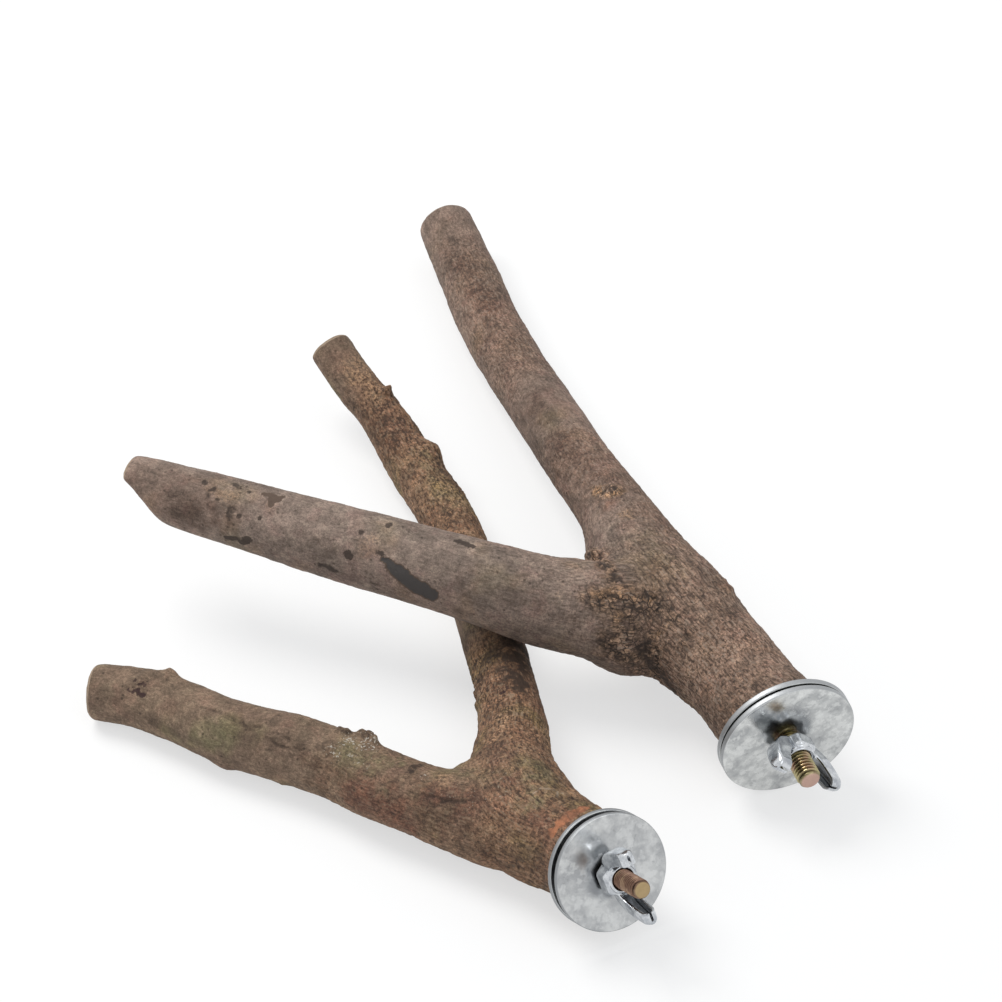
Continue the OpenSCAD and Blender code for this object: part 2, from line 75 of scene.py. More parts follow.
# Marks in the bark by kind, painted shade among them: the strength, then the spots that the mark
# runs through, each with its place and its reach. For a bump the strength is its height.
SMALL_MARKS = {
    "rough": [
        (1, (32, -124, 16, 17), (17, -108, 14, 19), (12, -80, 14, 15), (5, -48, 10, 12)),
        (0.6, (0, -104, 12, 15), (-30, -86, 10, 10)),
        (0.9, (-2, 10, 8, 13), (-8, 34, 8, 14), (-20, 58, 14, 11)),
    ],
    "dark": [
        # From (12, -62) to (13, -42), and at (7, -47): painted shadow of the crossing side arm, over
        # dark bark
        (0.5, (9.5, -70, 20, 1)), (0.7, (12, -62, 18.5, 4), (12, -52, 17.5, 6), (13, -42, 14, 7)),
        (0.6, (7, -47, 16.5, 4)), (0.85, (-13.5, -96, 21, 1.5), (-11.5, -94, 20.5, 1.5)),
        (0.5, (-8, -104.5, 20, 2), (-1, -108, 21, 2)),
        (0.7, (-32, -81, 19.5, 1.4), (-30, -81.5, 19.5, 1.4)), (0.5, (-25, -83, 19, 1.8)),
        (0.35, (-48, -76, 18, 5), (-38, -80, 18, 4)),
    ],
    "knot": [
        (1, (-83, -57.5, 16, 1.8), (-81.5, -60, 15, 1.5), (-85.5, -58, 15, 1.1)),
        (0.9, (9.5, -64, 19, 1.6)),
    ],
    "chips": [(0.9, (13.5, -72, 20, 4), (15, -86, 22.5, 5), (16.5, -97, 25.5, 4))],
    "lichen": [
        (1, (-29.5, -84.5, 20, 2.6), (-26.5, -86, 20, 2.2), (-23.5, -87.5, 20.5, 1.6)),
        (0.9, (-24, -84, 19.5, 2.2)), (0.8, (-34, -86.5, 19.5, 1.8), (-32.5, -88.5, 18.5, 1.8)),
        (0.6, (-28.5, -90, 19.5, 2), (-24, -93.5, 20, 2)),
        (0.9, (-10.5, -98.5, 21.5, 1.4), (-12, -101, 21, 1.2)),
        (0.3, (-3, -108, 21.5, 5), (8.5, -110, 24, 6), (12, -98, 24, 5)), (0.5, (20, -122, 23, 2.2)),
    ],
    "moss": [
        (0.7, (-30, -88, 18.5, 5), (-24, -92, 19.5, 5), (-17, -92, 20.5, 4)), (0.5, (-20, -99, 18, 4)),
        (0.8, (18, -102, 26, 6), (15.5, -114.5, 26, 4)), (0.5, (14.5, -93, 25, 5)),
        (0.6, (2.5, -61, 12, 4), (1.5, -76, 12, 4)),
        (0.5, (-8, -98, 21, 5), (4, -100, 23, 5), (20, -112, 24, 5)),
        (0.6, (-12, 36, 15, 6), (-4, 18, 15, 6)), (0.2, (-58, -74, 14, 7)),
    ],
    "red": [
        (0.9, (-28, -97, 14, 5), (-21, -101, 15.5, 6), (-16, -104.5, 13.5, 6)),
        (0.8, (-9, -105, 20, 5), (0, -109, 22, 6)), (0.8, (10, -104, 25, 5), (8, -92, 23.5, 4)),
        (0.55, (8, -77, 21, 4), (7, -87, 22.5, 3)), (0.7, (19, -119, 24, 6), (24, -123, 18, 7)),
        (0.5, (-32, 64.4, 21.8, 4), (-26.5, 58.5, 18, 5), (-18, 48, 18, 5)),
    ],
    "tan": [
        (0.6, (-30, 66, 20, 6), (-24, 56, 19, 5)), (0.6, (9.5, -77.5, 21, 3), (7, -87, 22.5, 3)),
        (0.6, (-14, 44, 19, 5), (-2, 18, 17, 5)), (0.5, (-5.5, -101, 22.5, 4)),
        (0.7, (18.5, -74, 14, 3.5), (20.5, -84, 18, 3.5), (26, -98, 22, 3)), (0.5, (14, -94, 25, 5)),
    ],
    "peel": [
        (1, (21, -123.5, 25, 1.3), (23, -121, 26.5, 2), (25.5, -119, 27, 2.1), (28.5, -117, 27, 1.6),
         (30.5, -115, 26, 1)),
    ],
    "crack": [
        (1, (-68, -67, 16.5, 0.4), (-63, -69.5, 17.5, 0.5), (-58, -73.5, 17.5, 0.5),
         (-51, -77.5, 18, 0.5), (-44, -81, 18.5, 0.4)),
        (0.9, (-58, -73.5, 17.5, 0.35), (-48, -81, 17, 0.5), (-40, -85, 17, 0.35)),
        (1, (-16.5, -101, 19, 0.45), (-10, -104.5, 20, 0.5), (-5.5, -107, 21, 0.5),
         (3, -109.5, 23, 0.4)),
        (0.8, (6, -88, 23, 0.35), (4.5, -100, 23.5, 0.4)),
        (0.7, (17, -103, 26, 0.35), (20, -115, 27, 0.35)),
    ],
    "pale": [
        (0.8, (16, -111, 26.5, 0.3), (19.5, -109.5, 27, 0.34), (22, -109.5, 26.5, 0.34),
         (24.5, -111.5, 26.5, 0.26)),
        (0.7, (22, -109.5, 26.5, 0.26), (23, -113.5, 27, 0.3)),
    ],
    "shade": [
        # Partly painted shade, partly darker bark; from (10, -60) to (13, -50) it is painted shadow of
        # the crossing side arm
        (0.9, (-27, 57, 15, 3), (-24.5, 50, 14, 4), (-20, 40, 12, 4)),
        (0.6, (-56, -74, 16, 4), (-48, -78, 15, 4)), (0.7, (-40, -84, 16, 3), (-26, -95, 16, 4)),
        (0.6, (-10, -107, 16, 5), (0, -112, 17, 4)), (0.8, (10, -60, 17, 5), (13, -50, 16, 6)),
        (0.5, (-12, 46, 17, 4), (-3, 26, 14, 5)),
    ],
    "bump": [
        (1.6, (-75.5, -53.5, 15.5, 2.5)), (0.8, (-44, -76.5, 20, 2.5)),
        (1.5, (-32, -80.5, 19.5, 1.5), (-30.5, -81, 19.5, 1.5)),
        (2.2, (-26.5, -81.5, 19, 1.6), (-23.5, -83, 19, 1.8)), (2.2, (-9.8, 41.5, 12.5, 4)),
        (1.2, (0, -91, 19, 3.5)), (2.3, (-22.3, 60.6, 17.3, 1.5)), (0.8, (-61.5, -75, 4, 3)),
        (0.5, (-83, -57, 16, 1.8)), (0.9, (2.5, -56.5, 12, 1.4)), (0.9, (2.5, -61, 12, 1.3)),
        (0.7, (-13, -95, 21, 1.8)), (0.5, (9, -63.5, 19, 1.6)), (0.6, (-47, -83.5, 6, 2.2)),
        (0.7, (-3, 42, 9, 2.2)),
    ],
}
LARGE_MARKS = {
    "rough": [
        (1, (76, -76, 18, 19), (53, -38, 20, 23), (50, -10, 20, 15)),
        (0.7, (50, -10, 20, 15), (32, 26, 18, 13)), (0.8, (40, -38, 22, 17), (16, -34, 25, 12)),
        (0.5, (14, 70, 16, 13), (0, 120, 14, 13)),
    ],
    "dark": [
        (0.6, (32, -21, 28, 1.6)), (0.6, (33, -30, 33, 1.4), (35, -35, 36.5, 1.3), (37.5, -41, 37, 1.3)),
        (0.55, (43.5, -53, 25, 2.5), (46, -53, 19, 4), (52, -58, 14, 3.5)), (0.45, (35, -53, 22, 4)),
        (0.35, (45, -49, 31, 1.6), (50, -50, 29.5, 1.8)), (0.45, (63.5, -57.5, 31.5, 3.2)),
        (0.4, (71, -71, 27, 4), (66, -72, 18, 5)), (0.6, (38.5, 1.5, 29.5, 1.6)),
        (1, (-30.8, -30.3, 36.5, 1), (-30, -31, 36, 0.9)), (1, (-22.4, -32.3, 38, 0.95)),
        (0.9, (-61.5, -19, 32, 0.7), (-59.5, -20, 32, 1), (-57.5, -21, 32.5, 1),
         (-56, -21.5, 33.5, 0.8)),
        (0.7, (-67.5, -9, 42, 0.9)), (0.85, (-65.5, -11, 42, 0.8)),
        (0.6, (-60, -9.5, 42, 0.7), (-58.5, -11, 42, 0.8)), (0.7, (-56, -12.5, 42, 0.7)),
        (0.5, (-59, -15, 41.5, 0.8), (-60, -16.5, 40, 0.8)), (0.6, (-58.5, -18.5, 39, 0.8)),
        (0.5, (-64, -14, 40.5, 0.8)), (0.5, (-66.5, -12.5, 41, 1.2)), (0.7, (-53, -20, 39.5, 0.6)),
        (0.7, (-42, -21, 40.5, 0.6)), (1, (-27.3, -27.2, 40.4, 0.9)), (1, (-20.2, -25.2, 41.4, 0.95)),
        (0.9, (-2.5, -31, 41, 0.8), (1.5, -33, 40.5, 0.7)),
        (0.6, (-37.5, -29, 31.5, 0.9), (-34, -30.5, 30.5, 1.1)),
        (0.5, (-24, -34.5, 30, 1.4), (-20, -36, 30, 1)), (0.5, (-60, -15, 41, 1.2), (-61, -18, 38, 1)),
        (0.3, (-76, -10, 36, 5), (-66, -16, 34, 4)), (0.4, (3.5, 102, 17.5, 2.2), (-1, 116, 16.5, 1.5)),
    ],
    "knot": [(0.5, (76.5, -70.5, 31, 1.6))],
    "scaly": [
        (0.9, (33, -47, 35, 4), (39, -46.5, 35.5, 6), (46, -46, 33.5, 5)), (0.9, (40, -51.5, 30.5, 5.5)),
        (1, (36, -53, 25, 5), (43.5, -53, 23.5, 6.5), (47.5, -52.5, 17, 6)), (0.9, (51, -50, 30.5, 4)),
        (0.9, (32, -21, 28, 3), (35, -35, 36.5, 2.6), (37.5, -41, 37, 3)),
        (0.95, (33.5, 5, 28.5, 2.6), (38, 1.5, 31, 3.2)), (0.45, (56, -56, 29, 5), (64, -62, 28, 5)),
        (0.5, (72, -75, 26, 6), (66, -74, 16, 6)),
    ],
    "moss": [
        (0.4, (45, -22, 34, 7), (52, -36, 36, 6)), (0.35, (22, 40, 24, 7)),
        (0.4, (61, -70, 14, 6)),
    ],
    "red": [
        (0.9, (33, -24, 30, 3), (35, -38, 37, 3)), (0.4, (62, -56, 32, 5)), (0.4, (74, -68, 30, 4)),
        (0.9, (64.5, -38, 30.5, 2.4)), (0.4, (70, -74, 25, 8)), (0.6, (37, -4, 30, 3)),
        (0.4, (3, 101, 17, 6), (0, 118, 17, 6)),
    ],
    "dim": [
        (1, (50, -14, 20, 15), (32, 26, 20, 16), (13, 72, 18, 14), (-4, 134, 15, 13)),
        (0.8, (20, -34, 25, 15), (-14, -33, 28, 9)), (1, (-84, -6, 38, 8), (-70, -12, 38, 9)),
        (0.6, (-60, -16, 39, 6)), (0.5, (-27, -31, 37, 5), (-20, -30, 39, 4)),
    ],
    "tan": [
        (0.7, (33.5, -46, 35, 2.5), (40, -45, 36, 3.5), (46, -46, 33.5, 2)),
        (0.8, (38, -50.5, 32.5, 1.8)), (0.8, (48, -51.5, 27, 1.6)), (1, (33.5, 5, 28.5, 2)),
        (1, (38, 1, 31, 2.4)), (0.6, (41, -10, 33.5, 3)), (0.6, (47, -50, 31, 1.6)),
        (0.4, (16.5, -47.5, 34, 1.5)), (0.4, (23.5, -46.5, 35.5, 1.5)),
        (0.4, (-66, -11.5, 41.5, 3), (-60, -14, 41, 4)), (0.35, (-50, -17, 41, 5)),
        (0.4, (-25, -30, 38.5, 5)),
    ],
    "flake": [
        (1, (-21.5, -33, 36.5, 0.9), (-17.5, -36, 35, 2.1), (-13.5, -38.5, 32.5, 2.4),
         (-9, -40.5, 31, 2.2)),
        (0.52, (-52.5, -13.5, 42, 0.7), (-50.5, -14, 42, 1), (-48.5, -15.5, 42, 1.2)),
        (0.52, (-50.5, -14, 42, 1), (-50, -17.5, 41.5, 0.9)),
        (0.5, (-48.5, -15.5, 42, 0.8), (-47, -14.5, 42, 0.8)),
    ],
    "crack": [
        (0.7, (-11, 128, 14, 0.35), (-7, 127.5, 16, 0.4), (-3, 129, 17, 0.35)),
        (1, (36, -41, 37, 0.4), (42, -45, 35.5, 0.5), (46, -49, 32, 0.5), (51, -53, 27, 0.4)),
        (1, (41, -42, 37, 0.4), (47, -45.5, 34, 0.5), (53, -50, 31, 0.5), (58, -58, 28, 0.4)),
        (0.9, (45, -41, 37, 0.35), (51, -44, 35, 0.45), (57, -50, 32.5, 0.4)),
        (0.8, (34, -33, 36, 0.4), (38, -38, 37.5, 0.4)),
        (0.8, (38, -52, 29, 0.4), (43, -54, 24, 0.5), (48, -57, 18, 0.4)),
        (0.8, (48, -38, 37, 0.3), (56, -45, 34, 0.35)),
    ],
    "shade": [
        # Partly painted shade, partly darker bark
        (1, (44, -53.5, 22, 3.5), (46, -53, 18, 7), (52, -58, 14, 5)),
        (0.9, (1, 107, 17, 3), (4, 102, 17.5, 3.5), (6.5, 95, 18, 3)),
        (0.6, (12, 84, 19.5, 3), (11, 77, 19, 2.5)), (0.6, (-3, 117, 16.5, 3.5), (-8, 130, 15, 2.5)),
        (0.7, (18, 52, 22, 4), (20, 41, 23, 4)), (0.8, (24, 31, 25, 4), (28, 22, 26.5, 4)),
        (0.55, (30, 18, 26, 9), (38, 2, 28, 10), (45, -12, 28, 9)),
        (0.6, (-74, -13, 37, 5), (-60, -18, 37, 4)), (0.5, (-36, -27, 37, 4)),
        (0.5, (0, -40, 36, 5), (20, -47, 33, 5)),
    ],
    "bump": [
        (-2, (30.9, -14, 24, 3)), (-0.9, (31, -9, 24.5, 3)), (2.7, (30.8, -19.5, 26.8, 1.4)),
        (1.5, (32.8, -22.5, 29.5, 1)), (1.2, (34.3, -25, 30.5, 1.1)),
        (1.9, (65.4, -38.5, 29.5, 1.9), (63.5, -35, 30.5, 1.5)),
        (0.7, (50, -52, 12.5, 3), (56, -60, 12, 2.4)), (0.35, (38, 1, 30, 3)), (0.35, (7, 88, 18, 3.2)),
        (0.6, (44, -51, 30, 1.5)), (0.5, (41, -45, 36.5, 1.6)), (0.4, (27, -30, 37, 3)),
    ],
}
MARK_KINDS = sorted({*SMALL_MARKS, *LARGE_MARKS} - {"bump"})

# For each perch: the sawn end and its bolt's direction, the limbs, the hardware and the bark.
# Trunk: heading, length and route. Fork: height and girth.
# Arms: heading, length, route, height that their climb starts from, climb and girth.
SIZES = {
    "small": {
        "end": (33.2, -128.0, 17.608), "heading": -61.4, "rise": 23.0, "trunk_dia": 24.4,
        "trunk": (129.6, 25, SMALL_TRUNK), "fork": (13.5, 27),
        "back": (106.7, 192, SMALL_BACK, 0, 15, 15), "side": (152.6, 127, SMALL_SIDE, 0, 17, 17),
        "bolt": 5.0, "reach": 21.4, "grip": 24.0, "pitch": 0.8,
        "washer": 30.0, "thick": 1.5, "gap": 2.0, "standoff": 1.0,
        "hub": 10.4, "hub_height": 5.4, "turn": 10.0,
        "span": 20.0, "wing_height": 14.3, "wing_width": 3.8,
        "voxel": 0.54, "crease_rounds": 420, "marks": SMALL_MARKS, "seed": 100,
    },
    "large": {
        "end": (78.936, -77.441, 18.072), "heading": -69.5, "rise": -6.5, "trunk_dia": 27.0,
        "trunk": (121.7, 50.5, LARGE_TRUNK), "fork": (20.46, 31),
        "back": (108.4, 189, LARGE_BACK, 0, 16, 16), "side": (165, 144.5, LARGE_SIDE, 20.46, 9, 18.5),
        "bolt": 6.0, "reach": 18.4, "grip": 34.0, "pitch": 1.0,
        "washer": 35.5, "thick": 1.6, "gap": 0.6, "standoff": 2.2,
        "hub": 10.8, "hub_height": 5.0, "turn": 50.0,
        "span": 23.0, "wing_height": 11.4, "wing_width": 4.2,
        "voxel": 0.615, "crease_rounds": 120, "marks": LARGE_MARKS, "seed": 200,
    },
}
SHEET_THICK = 1.2
END_GAP = 0.05
WASHER_FIT = 0.1
BORE_FIT = 0.16
NUT_VOXEL = 0.15
# Wings of the nuts, row by row: shares of the half span, the wing's height and its width
WING_SHARES = [
    (0.3, 0.18, 1), (0.48, 0.22, 1.05), (0.64, 0.36, 1.05), (0.75, 0.58, 1), (0.81, 0.8, 0.95),
    (0.84, 1, 0.9),
]
WING_ROOT_SHARE = 1.4
# Where the large side arm lies on the small back arm, and how far about it the bark has no relief
CROSSING = np.array([6.8, -35.3, 17.5])
CROSSING_REACH = 7.5
# The least height of a branch's points above the floor
FLOOR_GAP = 0.05
# Rounds that even out a branch's facets, and the height that is given back after them
EVENING_ROUNDS = 45
GIVEN_BACK = 0.16
# Sets the pattern on the side arms apart from the pattern on the stems
SIDE_GRAIN = (300, 0, 0)
# Height of some marks, in millimetres at their full strength
RELIEF_SHARES = {"flake": -0.28, "crack": -0.34, "pale": 0.16}
# Entries in a noise pattern's table, and a shift that keeps the lattice's places above zero
TABLE_SIZE = 4096
LATTICE_SHIFT = 500.0


# -------- routes

def ahead(heading):
    return np.array([math.cos(math.radians(heading)), math.sin(math.radians(heading))])


def bolt_axis(heading, rise):
    flat = math.cos(math.radians(rise))
    return np.array([*(ahead(heading) * flat), math.sin(math.radians(rise))])


def arm_rows(start, heading, length, shares, base, climb, girth):
    rows = []
    for way, left, height, thick in shares:
        x, y = start[:2] + length * (way * ahead(heading) + left * ahead(heading + 90))
        rows.append((x, y, base + height * climb, thick * girth))
    return rows


def smooth_route(rows, steps=6):
    """Smooth way through all but the first and last of the rows."""
    rows = np.array(rows, float)
    way = []
    for a, b, c, d in zip(rows, rows[1:], rows[2:], rows[3:]):
        for t in np.arange(steps) / steps:
            bend = (c - a) + t * ((2 * a - 5 * b + 4 * c - d) + t * (3 * b - a - 3 * c + d))
            way.append(b + t * bend / 2)
    return np.array(way + [rows[-2]])


class Limb:
    """A limb's middle line and girth, in millimetres, and how a point lies to it."""

    def __init__(self, rows):
        rows = np.array(rows, float)
        route = smooth_route(np.vstack([2 * rows[0] - rows[1], rows, 2 * rows[-1] - rows[-2]]))
        self.at, self.radius = route[:, :3], route[:, 3] / 2
        steps = np.linalg.norm(np.diff(self.at, axis=0), axis=1)
        self.along = np.concatenate([[0], np.cumsum(steps)])

    def read(self, points):
        """Each point's grain (way along, right, up), its distance as a share of the radius, and its
        way to the tip."""
        closest = np.full(len(points), np.inf)
        grain = np.zeros((len(points), 3))
        last = len(self.at) - 2
        for i in range(last + 1):
            step = self.at[i + 1] - self.at[i]
            length = np.linalg.norm(step)
            forward = step / length
            right = np.cross(forward, (0, 0, 1))
            right /= np.linalg.norm(right)
            up = np.cross(right, forward)
            away = points - self.at[i]
            # The first and last stretches run on past the limb's ends
            held = np.clip(away @ forward, -1e3 if i == 0 else 0, 1e3 if i == last else length)
            off = away - held[:, None] * forward
            t = np.clip(held / length, 0, 1)
            share = np.linalg.norm(off, axis=1) / (self.radius[i] * (1 - t) + self.radius[i + 1] * t)
            near = share < closest
            closest[near] = share[near]
            grain[near] = np.stack([self.along[i] + held, off @ right, off @ up], axis=1)[near]
        return grain, closest, self.along[-1] - grain[:, 0]


def limbs_of(size):
    """Stem and side arm of a branch."""
    place = SIZES[size]
    end = np.array([*place["end"], place["trunk_dia"]])
    heading, length, rows = place["trunk"]
    height, girth = place["fork"]
    fork = np.array([*(end[:2] + length * ahead(heading)), height, girth])
    trunk = arm_rows(end, heading, length, rows, end[2], height - end[2], end[3])
    root = (*fork[:3], 0.8 * girth)
    return (
        Limb([end, *trunk, fork, *arm_rows(fork, *place["back"])]),
        Limb([root, *arm_rows(fork, *place["side"])]),
    )


# -------- noise

def lattice(points, size):
    """Each point's place in a lattice with cells of the given size, and the cell that it is in."""
    place = points / np.array(size, float) + LATTICE_SHIFT
    return place, np.floor(place).astype(np.int64)


def cell_keys(cells):
    """Scatters the cells over the entries of a table."""
    key = cells @ np.array([73856093, 19349663, 83492791])
    return (key ^ (key >> 7)) % TABLE_SIZE


def soft_noise(points, size, seed):
    """Smooth noise between about -1 and 1, with bumps of the given size."""
    table = np.random.default_rng(seed).uniform(-1, 1, TABLE_SIZE)
    place, cell = lattice(points, size)
    t = place - cell
    t = t * t * t * (t * (6 * t - 15) + 10)
    total = np.zeros(len(points))
    for corner in np.ndindex(2, 2, 2):
        total += np.prod(np.where(corner, t, 1 - t), axis=1) * table[cell_keys(cell + corner)]
    return total


def plates(points, size, seed):
    """Broken plates: how far a point is from the nearest crack, and the plate's own tone."""
    rng = np.random.default_rng(seed)
    jitter = rng.uniform(0, 1, (TABLE_SIZE, 3))
    tone = rng.uniform(0, 1, TABLE_SIZE)
    place, cell = lattice(points, size)
    first = np.full(len(points), np.inf)
    second = np.full(len(points), np.inf)
    own = np.zeros(len(points))
    for corner in np.ndindex(3, 3, 3):
        there = cell + np.array(corner) - 1
        key = cell_keys(there)
        gap = np.linalg.norm(there + jitter[key] - place, axis=1)
        closer = gap < first
        second = np.where(closer, first, np.minimum(second, gap))
        own = np.where(closer, tone[key], own)
        first = np.where(closer, gap, first)
    return second - first, own


def ease(value, low, high):
    """Eased 0 to 1 as the value goes from low to high."""
    t = np.clip((value - low) / (high - low), 0, 1)
    return t * t * (3 - 2 * t)


def share_of_reach(points, spots):
    """How far each point is from a chain of spots, as a share of the reach that the chain has there."""
    spots = np.array(spots, float)
    least = np.linalg.norm(points - spots[0, :3], axis=1) / spots[0, 3]
    for a, b in zip(spots, spots[1:]):
        step = b[:3] - a[:3]
        t = np.clip((points - a[:3]) @ step / (step @ step), 0, 1)
        gap = np.linalg.norm(points - a[:3] - t[:, None] * step, axis=1)
        least = np.minimum(least, gap / (a[3] + t * (b[3] - a[3])))
    return least


# -------- meshes

def new_piece(name, mesh, node, body, material):
    """Puts a finished mesh in the scene as a piece that stands for a node."""
    piece = bpy.data.objects.new(name, mesh)
    bpy.context.scene.collection.objects.link(piece)
    mesh.materials.clear()
    mesh.materials.append(material)
    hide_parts(node)
    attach(piece, body)
    return piece


def weld(mesh, gap, face_out=False):
    """Joins points that lie closer than the gap, and turns the faces outwards if asked."""
    work = bmesh.new()
    work.from_mesh(mesh)
    bmesh.ops.remove_doubles(work, verts=work.verts, dist=gap)
    if face_out:
        bmesh.ops.recalc_face_normals(work, faces=work.faces)
    work.to_mesh(mesh)
    work.free()
    return mesh


def mesh_from(name, points, faces):
    """Mesh from points in millimetres, with its faces turned outwards."""
    mesh = bpy.data.meshes.new(name)
    mesh.from_pydata([tuple(p) for p in np.asarray(points, float) * MM], [], faces)
    return weld(mesh, 1e-7, face_out=True)


def baked(mesh, kind, inputs=None, **settings):
    """The mesh after a modifier has run on it."""
    holder = bpy.data.objects.new("holder", mesh)
    bpy.context.scene.collection.objects.link(holder)
    modifier = holder.modifiers.new(kind, kind)
    for key, value in settings.items():
        setattr(modifier, key, value)
    for key, value in (inputs or {}).items():
        modifier[key] = value
    shown = holder.evaluated_get(bpy.context.evaluated_depsgraph_get())
    result = bpy.data.meshes.new_from_object(shown)
    bpy.data.objects.remove(holder)
    return result


def read_vertices(mesh, field):
    flat = np.empty(len(mesh.vertices) * 3, np.float32)
    mesh.vertices.foreach_get(field, flat)
    return flat.reshape(-1, 3).astype(float)


def points_of(mesh):
    return read_vertices(mesh, "co") / MM


def normals_of(mesh):
    return read_vertices(mesh, "normal")


def set_points(mesh, points):
    mesh.vertices.foreach_set("co", (points * MM).astype(np.float32).ravel())
    mesh.update()


def relax(mesh, points, rounds, free):
    """Evens out the points by their neighbours; free holds how far each may go, from 0 to 1."""
    pairs = np.empty(len(mesh.edges) * 2, np.int32)
    mesh.edges.foreach_get("vertices", pairs)
    a, b = pairs.reshape(-1, 2).T
    near = (free[a] > 0.002) | (free[b] > 0.002)
    used, index = np.unique(np.concatenate([a[near], b[near]]), return_inverse=True)
    a, b = index[:near.sum()], index[near.sum():]
    n = len(used)
    part, give = points[used], 0.5 * free[used][:, None]
    count = (np.bincount(a, minlength=n) + np.bincount(b, minlength=n))[:, None]
    for _ in range(rounds):
        total = [np.bincount(a, part[b, k], n) + np.bincount(b, part[a, k], n) for k in range(3)]
        part = part + give * (np.stack(total, axis=1) / count - part)
    points = points.copy()
    points[used] = part
    return points


def shade(mesh, sharp_angle=None):
    """Smooth shading, but for edges that are sharper than the angle."""
    mesh.polygons.foreach_set("use_smooth", np.ones(len(mesh.polygons), bool))
    if sharp_angle:
        mesh.set_sharp_from_angle(angle=math.radians(sharp_angle))
    return mesh


def put_attribute(mesh, name, kind, values):
    layer = mesh.attributes.new(name, kind, "POINT")
    field = {"FLOAT_VECTOR": "vector", "FLOAT_COLOR": "color"}[kind]
    layer.data.foreach_set(field, np.ascontiguousarray(values, np.float32).ravel())


def put_four(mesh, name, *values):
    """Four numbers for each point, as a colour attribute."""
    put_attribute(mesh, name, "FLOAT_COLOR", np.stack(values, axis=1))


def put_edges(mesh, shade_and_soil, sawn=0.0):
    """Marks where metal is darkened by painted shade and soil, and where it was sawn off."""
    still = np.zeros(len(mesh.vertices))
    put_four(mesh, "edges", shade_and_soil + still, sawn + still, still, still)


# -------- branches

def bare_wood(size):
    """The branch's own solid, its facets evened out and the crease of its fork filled, as wood grows."""
    place = SIZES[size]
    source = weld(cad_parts[f"{size}_branch"].data.copy(), 1e-6)
    mesh = baked(source, "REMESH", mode="VOXEL", voxel_size=place["voxel"] * MM)
    points = points_of(mesh)

    from_end = points - np.array(place["end"])
    axis = bolt_axis(place["heading"], place["rise"])
    depth = -(from_end @ axis)
    off_axis = np.linalg.norm(from_end + depth[:, None] * axis, axis=1)
    in_hole = (off_axis < place["bolt"] / 2 + 1.2) & (depth < place["grip"] + 1.5)
    stem, side = limbs_of(size)
    _, stem_share, stem_left = stem.read(points)
    _, side_share, side_left = side.read(points)
    to_tip = np.where(stem_share > side_share, side_left, stem_left)

    free = np.where(in_hole, 0.0, ease(depth, 0.4, 2.0)) * (0.2 + 0.8 * ease(to_tip, 0.8, 3.5))
    points = relax(mesh, points, EVENING_ROUNDS, free)
    set_points(mesh, points)
    points = points + (GIVEN_BACK * free)[:, None] * normals_of(mesh)
    set_points(mesh, points)

    crease = free * (1 - ease(np.abs(stem_share - side_share), 0.35, 1.15))
    crease = crease * (1 - ease(np.maximum(stem_share, side_share), 1.8, 2.5)) * (points[:, 2] > 3)
    move = relax(mesh, points, place["crease_rounds"], crease) - points
    inward = np.einsum("ij,ij->i", move, normals_of(mesh)) < 0
    set_points(mesh, points + np.where(inward[:, None], 0.1, 1.0) * move)
    return mesh, depth, in_hole


def mark_masks(points, marks, seed, warp, ripple):
    """How strongly each kind of mark shows at each point, and the height of the bumps."""
    masks = {kind: np.zeros(len(points)) for kind in MARK_KINDS}
    height = np.zeros(len(points))
    every_mark = [(kind, *mark) for kind, own in marks.items() for mark in own]
    for kind, strength, *spots in every_mark:
        reach = max(spot[3] for spot in spots)
        if kind == "bump":
            share = share_of_reach(points + 0.3 * warp, spots)
            uneven = 0.3 * min(1.0, 2 / reach) ** 2 * soft_noise(points, 1.1, seed + 17)
            height += strength * np.exp(-share * share) * (1 + uneven)
            continue
        if kind in ("crack", "pale"):
            share = share_of_reach(points + 0.6 * warp + 0.25 * ripple, spots)
            shape = 1 - ease(share, 0.35, 1.25)
        elif kind == "flake":
            share = share_of_reach(points + 0.22 * warp + 0.3 * ripple, spots)
            shape = 1 - ease(share, 0.75, 1.15)
        else:
            bend = min(1.6, 0.45 * reach)
            share = share_of_reach(points + bend * warp + 0.4 * min(1.0, reach) * ripple, spots)
            shape = np.exp(-share * share) if reach > 1.3 else 1 - ease(share, 0.7, 1.45)
        masks[kind] = np.maximum(masks[kind], strength * shape)
    return masks, height


